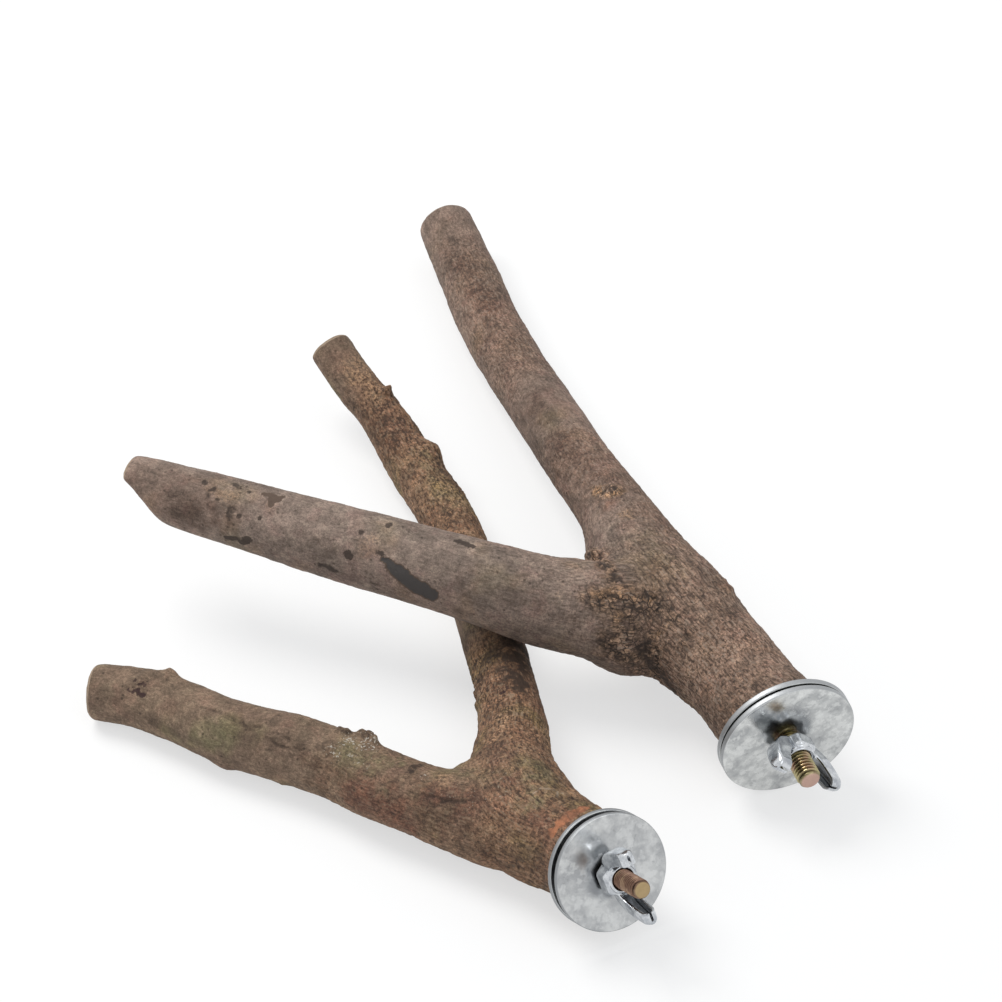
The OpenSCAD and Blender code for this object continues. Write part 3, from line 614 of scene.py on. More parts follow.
def bark_mesh(size):
    """Lumps, grain, plates, fissures, cracks and knots of bark, on the bare wood's form."""
    seed = SIZES[size]["seed"]
    mesh, depth, in_hole = bare_wood(size)
    points, normals = points_of(mesh), normals_of(mesh)
    stem, side = limbs_of(size)
    stem_grain, stem_share, stem_left = stem.read(points)
    side_grain, side_share, side_left = side.read(points)
    side_grain = side_grain + SIDE_GRAIN
    on_side = ease(stem_share - side_share, 0.1, 0.5)
    grain = np.where((on_side > 0.5)[:, None], side_grain, stem_grain)
    tip_left = np.where(on_side > 0.5, side_left, stem_left)

    def noise(size, own_seed):
        return soft_noise(points, size, seed + own_seed)

    def grained(size, own_seed, pattern=lambda value: value):
        """Noise along the grain, blended where the side arm meets the stem."""
        there, here = (pattern(soft_noise(g, size, seed + own_seed)) for g in (side_grain, stem_grain))
        return on_side * there + (1 - on_side) * here

    warp = np.stack([noise(2.6, k) for k in (1, 2, 3)], axis=1)
    ripple = np.stack([noise(0.9, k) for k in (4, 5, 6)], axis=1)
    masks, bumps = mark_masks(points, SIZES[size]["marks"], seed, warp, ripple)
    rough = np.clip(1.15 * masks["rough"], 0, 1)
    scaly = np.clip(1.25 * masks["scaly"] - 0.15, 0, 1)
    whorl = ease(noise(0.85, 21) + 0.6 * masks["knot"], 0.1, 0.6) * ease(masks["knot"], 0.12, 0.5)

    furrow = grained((17, 2.3, 2.3), 14, lambda value: (1 - np.abs(value)) ** 14)
    furrow = furrow * ease(grained((20, 9, 9), 15), -0.1, 0.5)
    edge, tone = plates(stem_grain + 1.2 * warp + 0.5 * ripple, (2.9, 1.6, 1.6), seed + 16)
    crack = (1 - ease(edge, 0.04, 0.26)) * ease(noise(5, 22), -0.6, 0.1)
    chip_edge, chip_tone = plates(grain + 0.7 * warp, (3.1, 1.8, 1.8), seed + 18)
    fissure = (1 - ease(chip_edge, 0.05, 0.28)) * ease(noise(6, 19), -0.35, 0.35)

    relief = 0.26 * grained((24, 10, 10), 10) + 0.15 * grained((8, 4.5, 4.5), 11)
    relief += 0.085 * grained((2.6, 1.5, 1.5), 12) - 0.16 * furrow + 0.06 * noise(0.95, 13)
    relief += rough * (0.2 * (chip_tone - 0.5) * ease(chip_edge, 0.03, 0.3) - 0.24 * fissure)
    relief += rough * 0.13 * noise(1.15, 20)
    plate_step = 0.5 * (tone - 0.35) * ease(edge, 0.02, 0.3)
    relief += scaly * (plate_step - 0.45 * crack + 0.25 * noise(1.6, 23))
    relief += bumps + sum(share * masks[kind] for kind, share in RELIEF_SHARES.items())
    relief += masks["knot"] * (0.5 * noise(1.1, 24) - 0.3 * whorl)

    cut = 1 - ease(tip_left, 0.5, 1.4)
    still = ease(depth, 0.6, 3.0) * (1 - 0.7 * cut)
    crossing = np.exp(-((np.linalg.norm(points - CROSSING, axis=1) / CROSSING_REACH) ** 2))
    relief = np.where(in_hole, 0, relief * still * (1 - crossing))
    points = points + relief[:, None] * normals
    points[:, 2] = np.maximum(points[:, 2], FLOOR_GAP)
    set_points(mesh, points)

    on_one = np.clip(2 * np.abs(on_side - 0.5), 0, 1)
    put_attribute(mesh, "grain", "FLOAT_VECTOR", grain * MM)
    put_four(mesh, "wear", np.clip(furrow + masks["crack"], 0, 1), scaly * crack, tone, on_one)
    put_four(mesh, "marks", np.maximum(masks["dark"], whorl), masks["lichen"], scaly, masks["flake"])
    put_four(mesh, "tints", masks["moss"], masks["red"], masks["peel"], cut)
    put_four(mesh, "zones", rough, masks["tan"], masks["pale"], rough * fissure)
    put_four(mesh, "looks", masks["dim"], masks["chips"], whorl, masks["shade"])
    return shade(mesh)


# -------- materials

class Nodes:
    """A node tree that is built one node at a time."""

    def __init__(self, tree):
        self.tree = tree

    def set(self, node, socket, value):
        target = node.inputs[socket]
        if isinstance(value, bpy.types.NodeSocket):
            self.tree.links.new(value, target)
        else:
            target.default_value = value

    def add(self, kind, settings=None, **inputs):
        """A new node. In the name of an input, an underscore stands for a space."""
        node = self.tree.nodes.new(kind)
        for key, value in (settings or {}).items():
            setattr(node, key, value)
        for key, value in inputs.items():
            self.set(node, key.replace("_", " "), value)
        return node

    def math(self, operation, *values, clamp=False):
        node = self.add("ShaderNodeMath", {"operation": operation, "use_clamp": clamp})
        for k, value in enumerate(values):
            self.set(node, k, value)
        return node.outputs[0]

    def times(self, first, *others):
        for other in others:
            first = self.math("MULTIPLY", first, other)
        return first

    def plus(self, a, b):
        return self.math("ADD", a, b)

    def scaled(self, value, by, base):
        return self.plus(base, self.times(value, by))

    def rest_of_one(self, value):
        return self.math("SUBTRACT", 1.0, value)

    def mixed_shader(self, share, first, second):
        node = self.add("ShaderNodeMixShader")
        for k, value in enumerate((share, first.outputs[0], second.outputs[0])):
            self.set(node, k, value)
        return node.outputs[0]

    def seen_white(self):
        """1 for what the camera, metal and glass see, and 0 for what lights the rest."""
        paths = self.add("ShaderNodeLightPath").outputs
        straight = self.math("ADD", paths["Is Camera Ray"], paths["Is Glossy Ray"], clamp=True)
        return self.math("ADD", straight, paths["Is Transmission Ray"], clamp=True)


class Finish(Nodes):
    """A material, with its patterns and with the colour that is laid on it step by step."""

    def __init__(self, name):
        self.material = bpy.data.materials.new(name)
        self.material.use_nodes = True
        super().__init__(self.material.node_tree)
        self.shader = self.tree.nodes["Principled BSDF"]
        self.object_place = self.add("ShaderNodeTexCoord").outputs["Object"]
        self.colour = None

    def noise(self, scale, detail=3.0, roughness=0.5, place=None):
        node = self.add("ShaderNodeTexNoise", Scale=scale, Detail=detail, Roughness=roughness)
        self.set(node, "Vector", place or self.object_place)
        return node.outputs["Fac"]

    def warped(self, amount, scale):
        """The place on the object, pushed about by noise."""
        push = self.add("ShaderNodeTexNoise", Scale=scale, Detail=2.0, Vector=self.object_place)
        about = self.add("ShaderNodeVectorMath", {"operation": "MULTIPLY_ADD"})
        for k, value in enumerate((push.outputs["Color"], (amount, amount, amount), self.object_place)):
            self.set(about, k, value)
        return about.outputs[0]

    def cells(self, scale, place):
        """Small cells: the distance from a cell's middle, and two numbers of the cell's own."""
        node = self.add("ShaderNodeTexVoronoi", {"feature": "F1"}, Scale=scale, Vector=place)
        own = self.add("ShaderNodeSeparateColor", Color=node.outputs["Color"])
        return node.outputs["Distance"], own.outputs[0], own.outputs[1]

    def stretched(self, grain, share):
        """The grain's coordinates, with patterns drawn out lengthwise."""
        return self.add("ShaderNodeMapping", Scale=(share, 1.0, 1.0), Vector=grain).outputs["Vector"]

    def parts(self, attribute):
        """The four numbers of a colour attribute."""
        source = self.add("ShaderNodeAttribute", {"attribute_name": attribute})
        split = self.add("ShaderNodeSeparateColor")
        self.set(split, "Color", source.outputs["Color"])
        return [*split.outputs, source.outputs["Alpha"]]

    def ramp(self, value, low, high):
        """Eased 0 to 1 as the value goes from low to high."""
        node = self.add("ShaderNodeMapRange", {"interpolation_type": "SMOOTHSTEP"},
                        Value=value, From_Min=low, From_Max=high)
        return node.outputs["Result"]

    def fade(self, value, low, high):
        """Eased 1 to 0 as the value goes from low to high."""
        return self.rest_of_one(self.ramp(value, low, high))

    def mix(self, share, a, b, blend="MIX"):
        node = self.add("ShaderNodeMix", {"data_type": "RGBA", "blend_type": blend})
        self.set(node, 0, share)
        for socket, value in ((6, a), (7, b)):
            self.set(node, socket, value if isinstance(value, bpy.types.NodeSocket) else (*value, 1))
        return node.outputs[2]

    def lay(self, over, *shares):
        """Lays a colour over the one so far, as strongly as the product of the shares."""
        self.colour = self.mix(self.times(*shares), self.colour, over)

    def tint(self, by, *shares):
        """Multiplies the colour so far, as strongly as the product of the shares."""
        self.lay(self.mix(1.0, self.colour, by, "MULTIPLY"), *(shares or [1.0]))

    def surface(self, roughness, height, bump_strength, bump_depth):
        """Puts the colour so far, the roughness and a bump pattern on the shader."""
        self.set(self.shader, "Base Color", self.colour)
        self.set(self.shader, "Roughness", roughness)
        bump = self.add("ShaderNodeBump", Strength=bump_strength, Distance=bump_depth, Height=height)
        self.set(self.shader, "Normal", bump.outputs["Normal"])
        return self.material


def toned(colour, by):
    return tuple(by * v for v in colour)


def bark_finish(name, tones, speckle):
    """Bark: broad tones, mottling, chips, pores and fine cracks, and the marks that the mesh carries,
    painted shade among them.
    """
    f = Finish(name)
    ramp, fade, times, plus, mix, lay, tint = f.ramp, f.fade, f.times, f.plus, f.mix, f.lay, f.tint
    dark, chalky = tones["dark"], tones["chalky"]
    grain = f.add("ShaderNodeAttribute", {"attribute_name": "grain"}).outputs["Vector"]
    furrow, crack, tone, on_one = f.parts("wear")
    dark_mark, lichen, scaly, flake = f.parts("marks")
    moss, red, peel, cut = f.parts("tints")
    rough, tan, pale, fissure = f.parts("zones")
    dim, chips, whorl, shaded = f.parts("looks")
    worked = f.math("MAXIMUM", rough, scaly)

    stretch, brush = f.stretched(grain, 0.16), f.stretched(grain, 0.34)
    broad, blotch, mottle = f.noise(42, 4, 0.55), f.noise(150, 4, 0.6), f.noise(330, 5, 0.62)
    fine, grit = f.noise(1300, 4, 0.7), f.noise(3000, 2, 0.6)
    streak, stroke = f.noise(420, 4, 0.6, stretch), f.noise(1650, 4, 0.6, brush)
    half_mottled = ramp(mottle, 0.35, 0.65)
    wavy = f.warped(0.0011, 520)
    slant = f.add("ShaderNodeMapping", {"vector_type": "TEXTURE"}, Vector=wavy,
                  Rotation=(0, 0, math.radians(124)), Scale=(2.3, 1, 1))
    split = f.add("ShaderNodeTexVoronoi", {"feature": "DISTANCE_TO_EDGE"}, Scale=640.0,
                  Vector=slant.outputs["Vector"])
    split = times(fade(split.outputs["Distance"], 0.03, 0.12), ramp(blotch, 0.42, 0.54))

    # Broad tones, then painted shade over darker bark, and the stained, mossy, tan and peeled places
    f.colour = mix(ramp(broad, 0.36, 0.64), tones["main"], tones["second"])
    lay(tones["olive"], ramp(f.noise(75, 3, 0.5), 0.5, 0.72))
    lay(chalky, ramp(mottle, 0.5, 0.72), 0.6)
    tint((1.1, 0.97, 1.0), ramp(blotch, 0.5, 0.62), 0.5)
    tint((0.78, 0.8, 0.8), fade(blotch, 0.38, 0.48), 0.6)
    # Painted shade, partly darker bark, where the mesh carries shade marks
    tint((0.56, 0.51, 0.49), ramp(shaded, 0.05, 0.8), ramp(mottle, 0.3, 0.56))
    tint(f.scaled(ramp(f.noise(250, 4, 0.65), 0.36, 0.64), 0.4, 0.8))
    tint(tones["worn"], ramp(rough, 0.1, 0.9))
    tint((0.86, 0.8, 0.77), ramp(dim, 0.1, 0.9))
    reds = mix(ramp(mottle, 0.4, 0.6), tones["red"], tones["deep red"])
    lay(reds, ramp(red, 0.1, 0.9), ramp(blotch, 0.32, 0.5))
    lay((0.165, 0.14, 0.075), ramp(moss, 0.1, 0.9), half_mottled)
    lay((0.4, 0.245, 0.14), ramp(tan, 0.15, 0.8), ramp(fine, 0.42, 0.56))
    lay(mix(half_mottled, (0.38, 0.155, 0.075), (0.2, 0.1, 0.065)), ramp(peel, 0.3, 0.6))

    # Scaly plates, and small chips of bark
    plate = mix(ramp(tone, 0.1, 0.75), (0.165, 0.105, 0.078), (0.42, 0.265, 0.17))
    tan_plate = mix(ramp(tone, 0.1, 0.7), (0.22, 0.13, 0.08), (0.48, 0.28, 0.155))
    lay(mix(ramp(tan, 0.1, 0.6), plate, tan_plate), ramp(scaly, 0.1, 0.8), 0.78)
    chip, chosen, own = f.cells(1050, wavy)
    chip = fade(chip, 0.35, 0.5)
    pale_chip = mix(own, (0.38, 0.255, 0.16), (0.3, 0.185, 0.135))
    lay(pale_chip, chip, ramp(chosen, 0.74, 0.8), worked, 0.5)
    darkened = fade(f.math("SUBTRACT", chosen, times(chips, 0.3)), 0.16, 0.22)
    lay(dark, chip, darkened, f.math("MAXIMUM", worked, chips), 0.75)

    # Speckle and brush-like strokes, stronger where the bark is worked
    light = times(f.scaled(ramp(fine, 0.36, 0.64), 2.0, -1.0), f.scaled(worked, 0.3, speckle))
    light = times(plus(1.06, light), f.scaled(ramp(grit, 0.3, 0.7), 0.44, 0.78))
    tint(times(light, f.scaled(ramp(streak, 0.3, 0.7), 0.1, 0.95)))
    busy = times(f.scaled(worked, 0.8, 0.2), f.rest_of_one(times(peel, 0.8)))
    lay(dark, ramp(stroke, 0.515, 0.585), busy, 0.85)
    lay(chalky, fade(stroke, 0.38, 0.45), busy, 0.75)

    # Pores, thin cracks, the peel's inner layer, furrows and fissures
    pore, picked, _ = f.cells(620, f.object_place)
    pore = times(fade(pore, 0.12, 0.3), ramp(picked, 0.62, 0.8))
    lay(dark, pore, 0.6)
    thin = f.math("ABSOLUTE", f.math("SUBTRACT", f.noise(260, 3, 0.5, stretch), 0.5))
    lay(dark, fade(thin, 0.0, 0.02), ramp(broad, 0.42, 0.6), on_one, 0.28)
    inner_peel = mix(ramp(mottle, 0.4, 0.7), (0.4, 0.165, 0.085), (0.25, 0.11, 0.06))
    lay(inner_peel, ramp(peel, 0.35, 0.65), 0.65)
    lay(dark, furrow, 0.55)
    lay(dark, fissure, 0.62)
    lay(dark, split, plus(times(scaly, 0.9), times(rough, 0.4)))
    lay((0.022, 0.017, 0.014), crack, 0.85)

    # Dark spots and knots, missing flakes, lichen and pale scratches
    spread = times(dark_mark, f.scaled(half_mottled, 0.9, 0.55))
    lay(mix(whorl, dark, (0.032, 0.014, 0.016)), ramp(spread, 0.18, 0.75), 0.88)
    flake_rim = mix(fine, (0.085, 0.056, 0.042), (0.125, 0.088, 0.066))
    bared = mix(fine, (0.052, 0.047, 0.046), (0.082, 0.072, 0.066))
    lay(mix(ramp(flake, 0.5, 0.9), flake_rim, bared), ramp(flake, 0.2, 0.45))
    crust = plus(f.noise(1500, 2, 0.5), times(ramp(lichen, 0.05, 1.0), 0.13))
    crust_tone = mix(ramp(lichen, 0.3, 0.8), (0.3, 0.25, 0.19), (0.47, 0.43, 0.37))
    lay(crust_tone, ramp(crust, 0.68, 0.72), ramp(lichen, 0.06, 0.3), 0.8)
    lay((0.46, 0.37, 0.28), pale, 0.7)

    # Growth rings on the sawn tips
    across = f.add("ShaderNodeSeparateXYZ", Vector=grain).outputs
    from_pith = f.math("SQRT", plus(f.math("POWER", across[1], 2.0), f.math("POWER", across[2], 2.0)))
    ring = f.math("SINE", times(plus(from_pith, times(mottle, 0.0012)), 5200.0))
    wood = mix(ramp(ring, -0.6, 0.9), (0.28, 0.205, 0.145), (0.36, 0.275, 0.2))
    wood = mix(times(ramp(fine, 0.4, 0.7), 0.4), wood, (0.16, 0.12, 0.09))
    lay(wood, ramp(cut, 0.35, 0.6))

    height = plus(times(fine, 0.6), plus(times(grit, 0.25), times(streak, 0.2)))
    height = f.math("SUBTRACT", height, times(plus(pore, fissure), 0.35))
    f.shader.inputs["Specular IOR Level"].default_value = 0.28
    return f.surface(f.scaled(fine, 0.22, 0.74), height, 0.7, 0.00046)


def metal_finish(name, light, dark, rough, mottle_scale, grain_bump, shade_and_soil_tone, patina=None, end=None):
    """Plated metal in soft patches, with specks, uneven gloss, and painted shade with soil on its
    sheared edges and hollows.
    """
    f = Finish(name)
    ramp, times = f.ramp, f.times
    patches, fine = f.noise(mottle_scale, 5, 0.6), f.noise(2600, 3, 0.6)
    _, _, sheen = f.cells(mottle_scale * 6, f.warped(0.0006, 800))
    shaded_and_soiled, sawn, _, _ = f.parts("edges")
    f.colour = f.mix(ramp(patches, 0.36, 0.64), dark, light)
    f.lay(dark, ramp(sheen, 0.3, 0.8), 0.32)
    f.lay(toned(light, 1.12), ramp(f.noise(mottle_scale * 2.4, 3, 0.6), 0.5, 0.62), 0.5)
    if patina:
        f.lay(patina, ramp(f.noise(mottle_scale * 0.7, 3, 0.5), 0.48, 0.66))
    f.lay(toned(dark, 0.55), ramp(f.noise(900, 3, 0.6), 0.62, 0.72), 0.35)
    if end:
        f.lay(f.mix(fine, end, toned(end, 0.8)), sawn, 0.85)
    # Painted shade with some soil: sheared edges, thread roots, and the nut's channels, bore and
    # underside
    f.lay(f.mix(fine, shade_and_soil_tone, toned(shade_and_soil_tone, 1.6)), shaded_and_soiled, 0.92)
    f.shader.inputs["Metallic"].default_value = 1.0
    dulled = times(f.math("MAXIMUM", shaded_and_soiled, sawn), 0.3)
    gloss = f.plus(f.scaled(patches, 0.16, rough), dulled)
    return f.surface(gloss, f.plus(fine, patches), grain_bump, 0.00008)


# -------- hardware

def on_bolt(size, out=0.0, turn=0.0):
    """Place of a piece on a bolt: its Z runs out of the sawn end."""
    place = SIZES[size]
    return (
        Matrix.Translation(Vector(place["end"]))
        @ Matrix.Rotation(math.radians(place["heading"]), 4, "Z")
        @ Matrix.Rotation(math.radians(90 - place["rise"]), 4, "Y")
        @ Matrix.Translation((0, 0, out))
        @ Matrix.Rotation(math.radians(turn), 4, "Z")
    )


def placed(points, matrix):
    turn = np.array(matrix.to_3x3())
    return np.asarray(points, float) @ turn.T + np.array(matrix.translation)


def rounded(corners, radius, steps):
    """Outline with each corner eased by an arc between two support points."""
    way = []
    n = len(corners)
    for i in range(n):
        before, corner, after = (np.array(corners[(i + k) % n], float) for k in (-1, 0, 1))
        a, b = before - corner, after - corner
        reach = min(radius, 0.45 * np.linalg.norm(a), 0.45 * np.linalg.norm(b))
        start = corner + reach * a / np.linalg.norm(a)
        finish = corner + reach * b / np.linalg.norm(b)
        for t in np.arange(steps + 1) / steps:
            way.append((1 - t) ** 2 * start + 2 * t * (1 - t) * corner + t ** 2 * finish)
    return way


def ring_faces(rings, sides, closed=True):
    """Faces between each ring of points and the next, and from the last to the first if closed."""
    return [
        (i * sides + k, i * sides + m, (i + 1) % rings * sides + m, (i + 1) % rings * sides + k)
        for i in range(rings if closed else rings - 1)
        for k, m in ((k, (k + 1) % sides) for k in range(sides))
    ]


def turned(outline, sides):
    """Rings of points turned about Z from an outline of (radius, height)."""
    angles = np.arange(sides) * 2 * math.pi / sides
    return [(r * math.cos(a), r * math.sin(a), z) for r, z in outline for a in angles]


def turned_rod(outline, sides=96):
    """Solid turned about Z from an outline of (radius, height) that starts and ends on the axis."""
    inner = outline[1:-1]
    points = turned(inner, sides) + [(0, 0, outline[0][1]), (0, 0, outline[-1][1])]
    bottom, top, last = len(points) - 2, len(points) - 1, (len(inner) - 1) * sides
    faces = ring_faces(len(inner), sides, closed=False)
    faces += [(bottom, (k + 1) % sides, k) for k in range(sides)]
    faces += [(top, last + k, last + (k + 1) % sides) for k in range(sides)]
    return points, faces


def washer_mesh(size, out):
    """Stamped washer with rolled edges, darkened with painted shade and soil where the punch has sheared
    it.
    """
    place = SIZES[size]
    hole, rim, thick = place["bolt"] / 2 + WASHER_FIT, place["washer"] / 2, place["thick"]
    outline = rounded([(hole, 0), (rim, 0), (rim, thick), (hole, thick)], 0.24 * thick, 5)
    sides = 160
    points, faces = turned(outline, sides), ring_faces(len(outline), sides)
    mesh = mesh_from(f"{size}_washer", placed(points, on_bolt(size, out)), faces)
    local = placed(points_of(mesh), on_bolt(size, out).inverted())
    from_axis = np.hypot(local[:, 0], local[:, 1])
    # Painted shade with some soil, on the sheared rim and round the hole
    near_rim = ease(from_axis, rim - 0.2 * thick, rim)
    near_hole = 1 - ease(from_axis, hole, hole + 0.2 * thick)
    put_edges(mesh, np.maximum(near_rim, near_hole))
    return shade(mesh, sharp_angle=24)


def thread_tree():
    """Geometry nodes that wind a thread: a helix swept with the thread's section, thin at both ends."""
    tree = bpy.data.node_groups.new("Rolled thread", "GeometryNodeTree")
    for name, kind in (
        ("Geometry", "Geometry"), ("Core radius", "Float"), ("Pitch", "Float"), ("Turns", "Float"),
        ("Depth", "Float"), ("Start", "Float"), ("Steps a turn", "Int"), ("Finish", "Material"),
    ):
        tree.interface.new_socket(name, in_out="INPUT", socket_type=f"NodeSocket{kind}")
    tree.interface.new_socket("Geometry", in_out="OUTPUT", socket_type="NodeSocketGeometry")

    n = Nodes(tree)
    given = n.add("NodeGroupInput").outputs
    core, pitch, turns, depth = (given[name] for name in ("Core radius", "Pitch", "Turns", "Depth"))
    helix = n.add("GeometryNodeCurveSpiral", Resolution=given["Steps a turn"], Rotations=turns,
                  Start_Radius=core, End_Radius=core, Height=n.times(pitch, turns))
    upright = n.add("GeometryNodeSetCurveNormal", {"mode": "Z_UP"}, Curve=helix.outputs[0])
    section = n.add("GeometryNodeCurvePrimitiveQuadrilateral", {"mode": "TRAPEZOID"}, Offset=0.0,
                    Height=n.times(depth, 1.5), Bottom_Width=n.times(pitch, 0.98),
                    Top_Width=n.times(pitch, 0.16))
    lift = n.add("ShaderNodeCombineXYZ", X=n.times(depth, -0.25))
    laid = n.add("GeometryNodeTransform", Geometry=section.outputs[0],
                 Rotation=(0.0, 0.0, math.pi / 2), Translation=lift.outputs[0])
    way = n.add("GeometryNodeSplineParameter").outputs["Factor"]
    to_an_end = n.math("MINIMUM", way, n.rest_of_one(way))
    taper = n.math("MINIMUM", 1.0, n.scaled(to_an_end, n.times(turns, 2.5), 0.02))
    swept = n.add("GeometryNodeCurveToMesh", Curve=upright.outputs[0], Profile_Curve=laid.outputs[0],
                  Scale=taper, Fill_Caps=True)
    rise = n.add("ShaderNodeCombineXYZ", Z=given["Start"])
    raised = n.add("GeometryNodeTransform", Geometry=swept.outputs[0], Translation=rise.outputs[0])
    joined = n.add("GeometryNodeJoinGeometry")
    for part in (given["Geometry"], raised.outputs[0]):
        n.set(joined, 0, part)
    real = n.add("GeometryNodeRealizeInstances", Geometry=joined.outputs[0])
    plated = n.add("GeometryNodeSetMaterial", Geometry=real.outputs[0], Material=given["Finish"])
    n.set(n.add("NodeGroupOutput"), 0, plated.outputs[0])
    return tree


def stud_mesh(size, tree, finish):
    """Hanger bolt: turned core with its plain lead and bevelled tip, then the thread wound on it."""
    place = SIZES[size]
    dia, pitch, tip, grip = (place[key] for key in ("bolt", "pitch", "reach", "grip"))
    depth = 0.58 * pitch
    core, lead = dia / 2 - depth, 0.9 * dia / 2
    thread_start, thread_end = 0.3, tip - 0.16 * dia
    bevel = 0.08 * dia
    outline = [
        (0, -grip), (0.2, -grip), (0.43 * dia, 1.2 * dia - grip), (0.43 * dia, -0.8 * dia),
        (dia / 2, -0.8 * dia), (dia / 2, -0.2), (core, 0.0), (core, thread_end - 0.25 * pitch),
        (lead, thread_end + 0.2 * pitch), (lead, tip - bevel - 0.05), (lead - 0.04, tip - bevel + 0.02),
        (lead - bevel + 0.04, tip - 0.03), (lead - bevel - 0.05, tip), (0.3 * lead, tip), (0, tip),
    ]
    mesh = mesh_from(f"{size}_stud", *turned_rod(outline))
    given = [item for item in tree.interface.items_tree if item.in_out == "INPUT"]
    sockets = {item.name: item.identifier for item in given}
    values = {
        "Core radius": core * MM, "Pitch": pitch * MM, "Turns": (thread_end - thread_start) / pitch,
        "Depth": depth * MM, "Start": thread_start * MM, "Steps a turn": 40, "Finish": finish,
    }
    inputs = {sockets[name]: value for name, value in values.items()}
    result = baked(mesh, "NODES", inputs, node_group=tree)

    local = points_of(result)
    from_axis, z = np.hypot(local[:, 0], local[:, 1]), local[:, 2]
    # Painted shade, with some soil, in the thread's roots between the turns
    groove = (1 - ease(from_axis, core + 0.1 * depth, core + 0.75 * depth)) * (from_axis > 0.8 * core)
    groove = groove * ease(z, -0.3, 0) * (1 - ease(z, tip - 0.3, tip - 0.05))
    put_edges(result, groove, ease(z, tip - 0.35 * bevel, tip - 0.1 * bevel))
    where = on_bolt(size)
    where.translation = where.translation * MM
    result.transform(where)
    return shade(result, sharp_angle=35)


def hub_mesh(size):
    """Pressed hub: six flats with rolled corners, a dished top and a bright collar round the bore."""
    place = SIZES[size]
    corner, high = place["hub"] / 2, place["hub_height"]
    bore = place["bolt"] / 2 + BORE_FIT
    flat = corner * math.cos(math.pi / 6)
    # Radius, height, and how far the row is a hexagon; a full hexagon's radius is a share of its own
    rows = [
        (bore, 0, 0), (flat * 0.9, 0, 0), (flat * 0.985, 0.1, 0.6), (1, 0.35, 1), (1, high * 0.55, 1),
        (0.985, high * 0.68, 1), (0.93, high * 0.78, 1), (flat * 0.84, high * 0.83, 0),
        (bore + 1.15, high * 0.84, 0), (bore + 1.0, high * 0.9, 0), (bore + 0.95, high - 0.25, 0),
        (bore + 0.75, high, 0), (bore + 0.3, high, 0), (bore, high - 0.25, 0),
    ]
    sides = 144
    points = []
    for radius, z, hexagon in rows:
        for a in (2 * math.pi * k / sides for k in range(sides)):
            six = min(flat / math.cos((a % (math.pi / 3)) - math.pi / 6), corner * 0.965)
            r = six * radius if hexagon == 1 else hexagon * six * 0.97 + (1 - hexagon) * radius
            points.append((r * math.cos(a), r * math.sin(a), z))
    return points, ring_faces(len(rows), sides)


def sheet_face(lip, back, half, bend, lip_turn):
    """One face of a folded sheet, in section: from a lip round the back of the channel to the other."""
    arc = [(math.cos(t), math.sin(t)) for t in np.linspace(0, math.pi / 2, 6)]
    way = [(lip, half + lip_turn), (lip + 0.15, half)]
    way += [(back - bend + bend * s, half - bend + bend * c) for c, s in arc]
    return way + [(n, -y) for n, y in way[::-1]]


def wing_mesh(size, side):
    """Wing folded from sheet: a channel open towards the bolt, wide at its root, rounded at its tip."""
    place = SIZES[size]
    half, high, width = place["span"] / 2, place["wing_height"], place["wing_width"]
    rows = [(w[0] * half, w[1] * high, w[2] * width) for w in WING_SHARES]
    rows = [(0, rows[0][1], rows[0][2])] + rows + [tuple(2 * np.array(rows[-1]) - np.array(rows[-2]))]
    way = smooth_route([(x, 0, z, d) for x, z, d in rows], 8)
    tip_r = width / 2
    sheet = SHEET_THICK * 0.82
    points = []
    for i, (x, _, z, depth) in enumerate(way):
        step = way[min(i + 1, len(way) - 1)] - way[max(i - 1, 0)]
        forward = np.array([step[0], step[2]]) / np.hypot(step[0], step[2])
        out = np.array([forward[1], -forward[0]])
        broad = width * (1 + (WING_ROOT_SHARE - 1) * max(0.0, 1 - z / (high - tip_r)))
        over = max(0.0, z - (high - tip_r)) / tip_r
        broad *= math.sqrt(max(0.0, 1 - over * over * 0.86))
        w, d = broad / 2, depth / 2
        bend = min(0.9, 0.42 * broad)
        inner = min(sheet, 0.36 * broad)
        tight = max(0.1, bend - inner * 0.8)
        loop = sheet_face(-d, d, w, bend, -0.1)[::-1]
        loop += sheet_face(-d, d - inner, w - inner, tight, 0.1)
        points += [(side * (x + n * out[0]), y * side, z + n * out[1]) for n, y in loop]
    count = len(loop)
    faces = ring_faces(len(way), count, closed=False)
    faces += [tuple(reversed(range(count))), tuple(range(len(points) - count, len(points)))]
    return points, faces


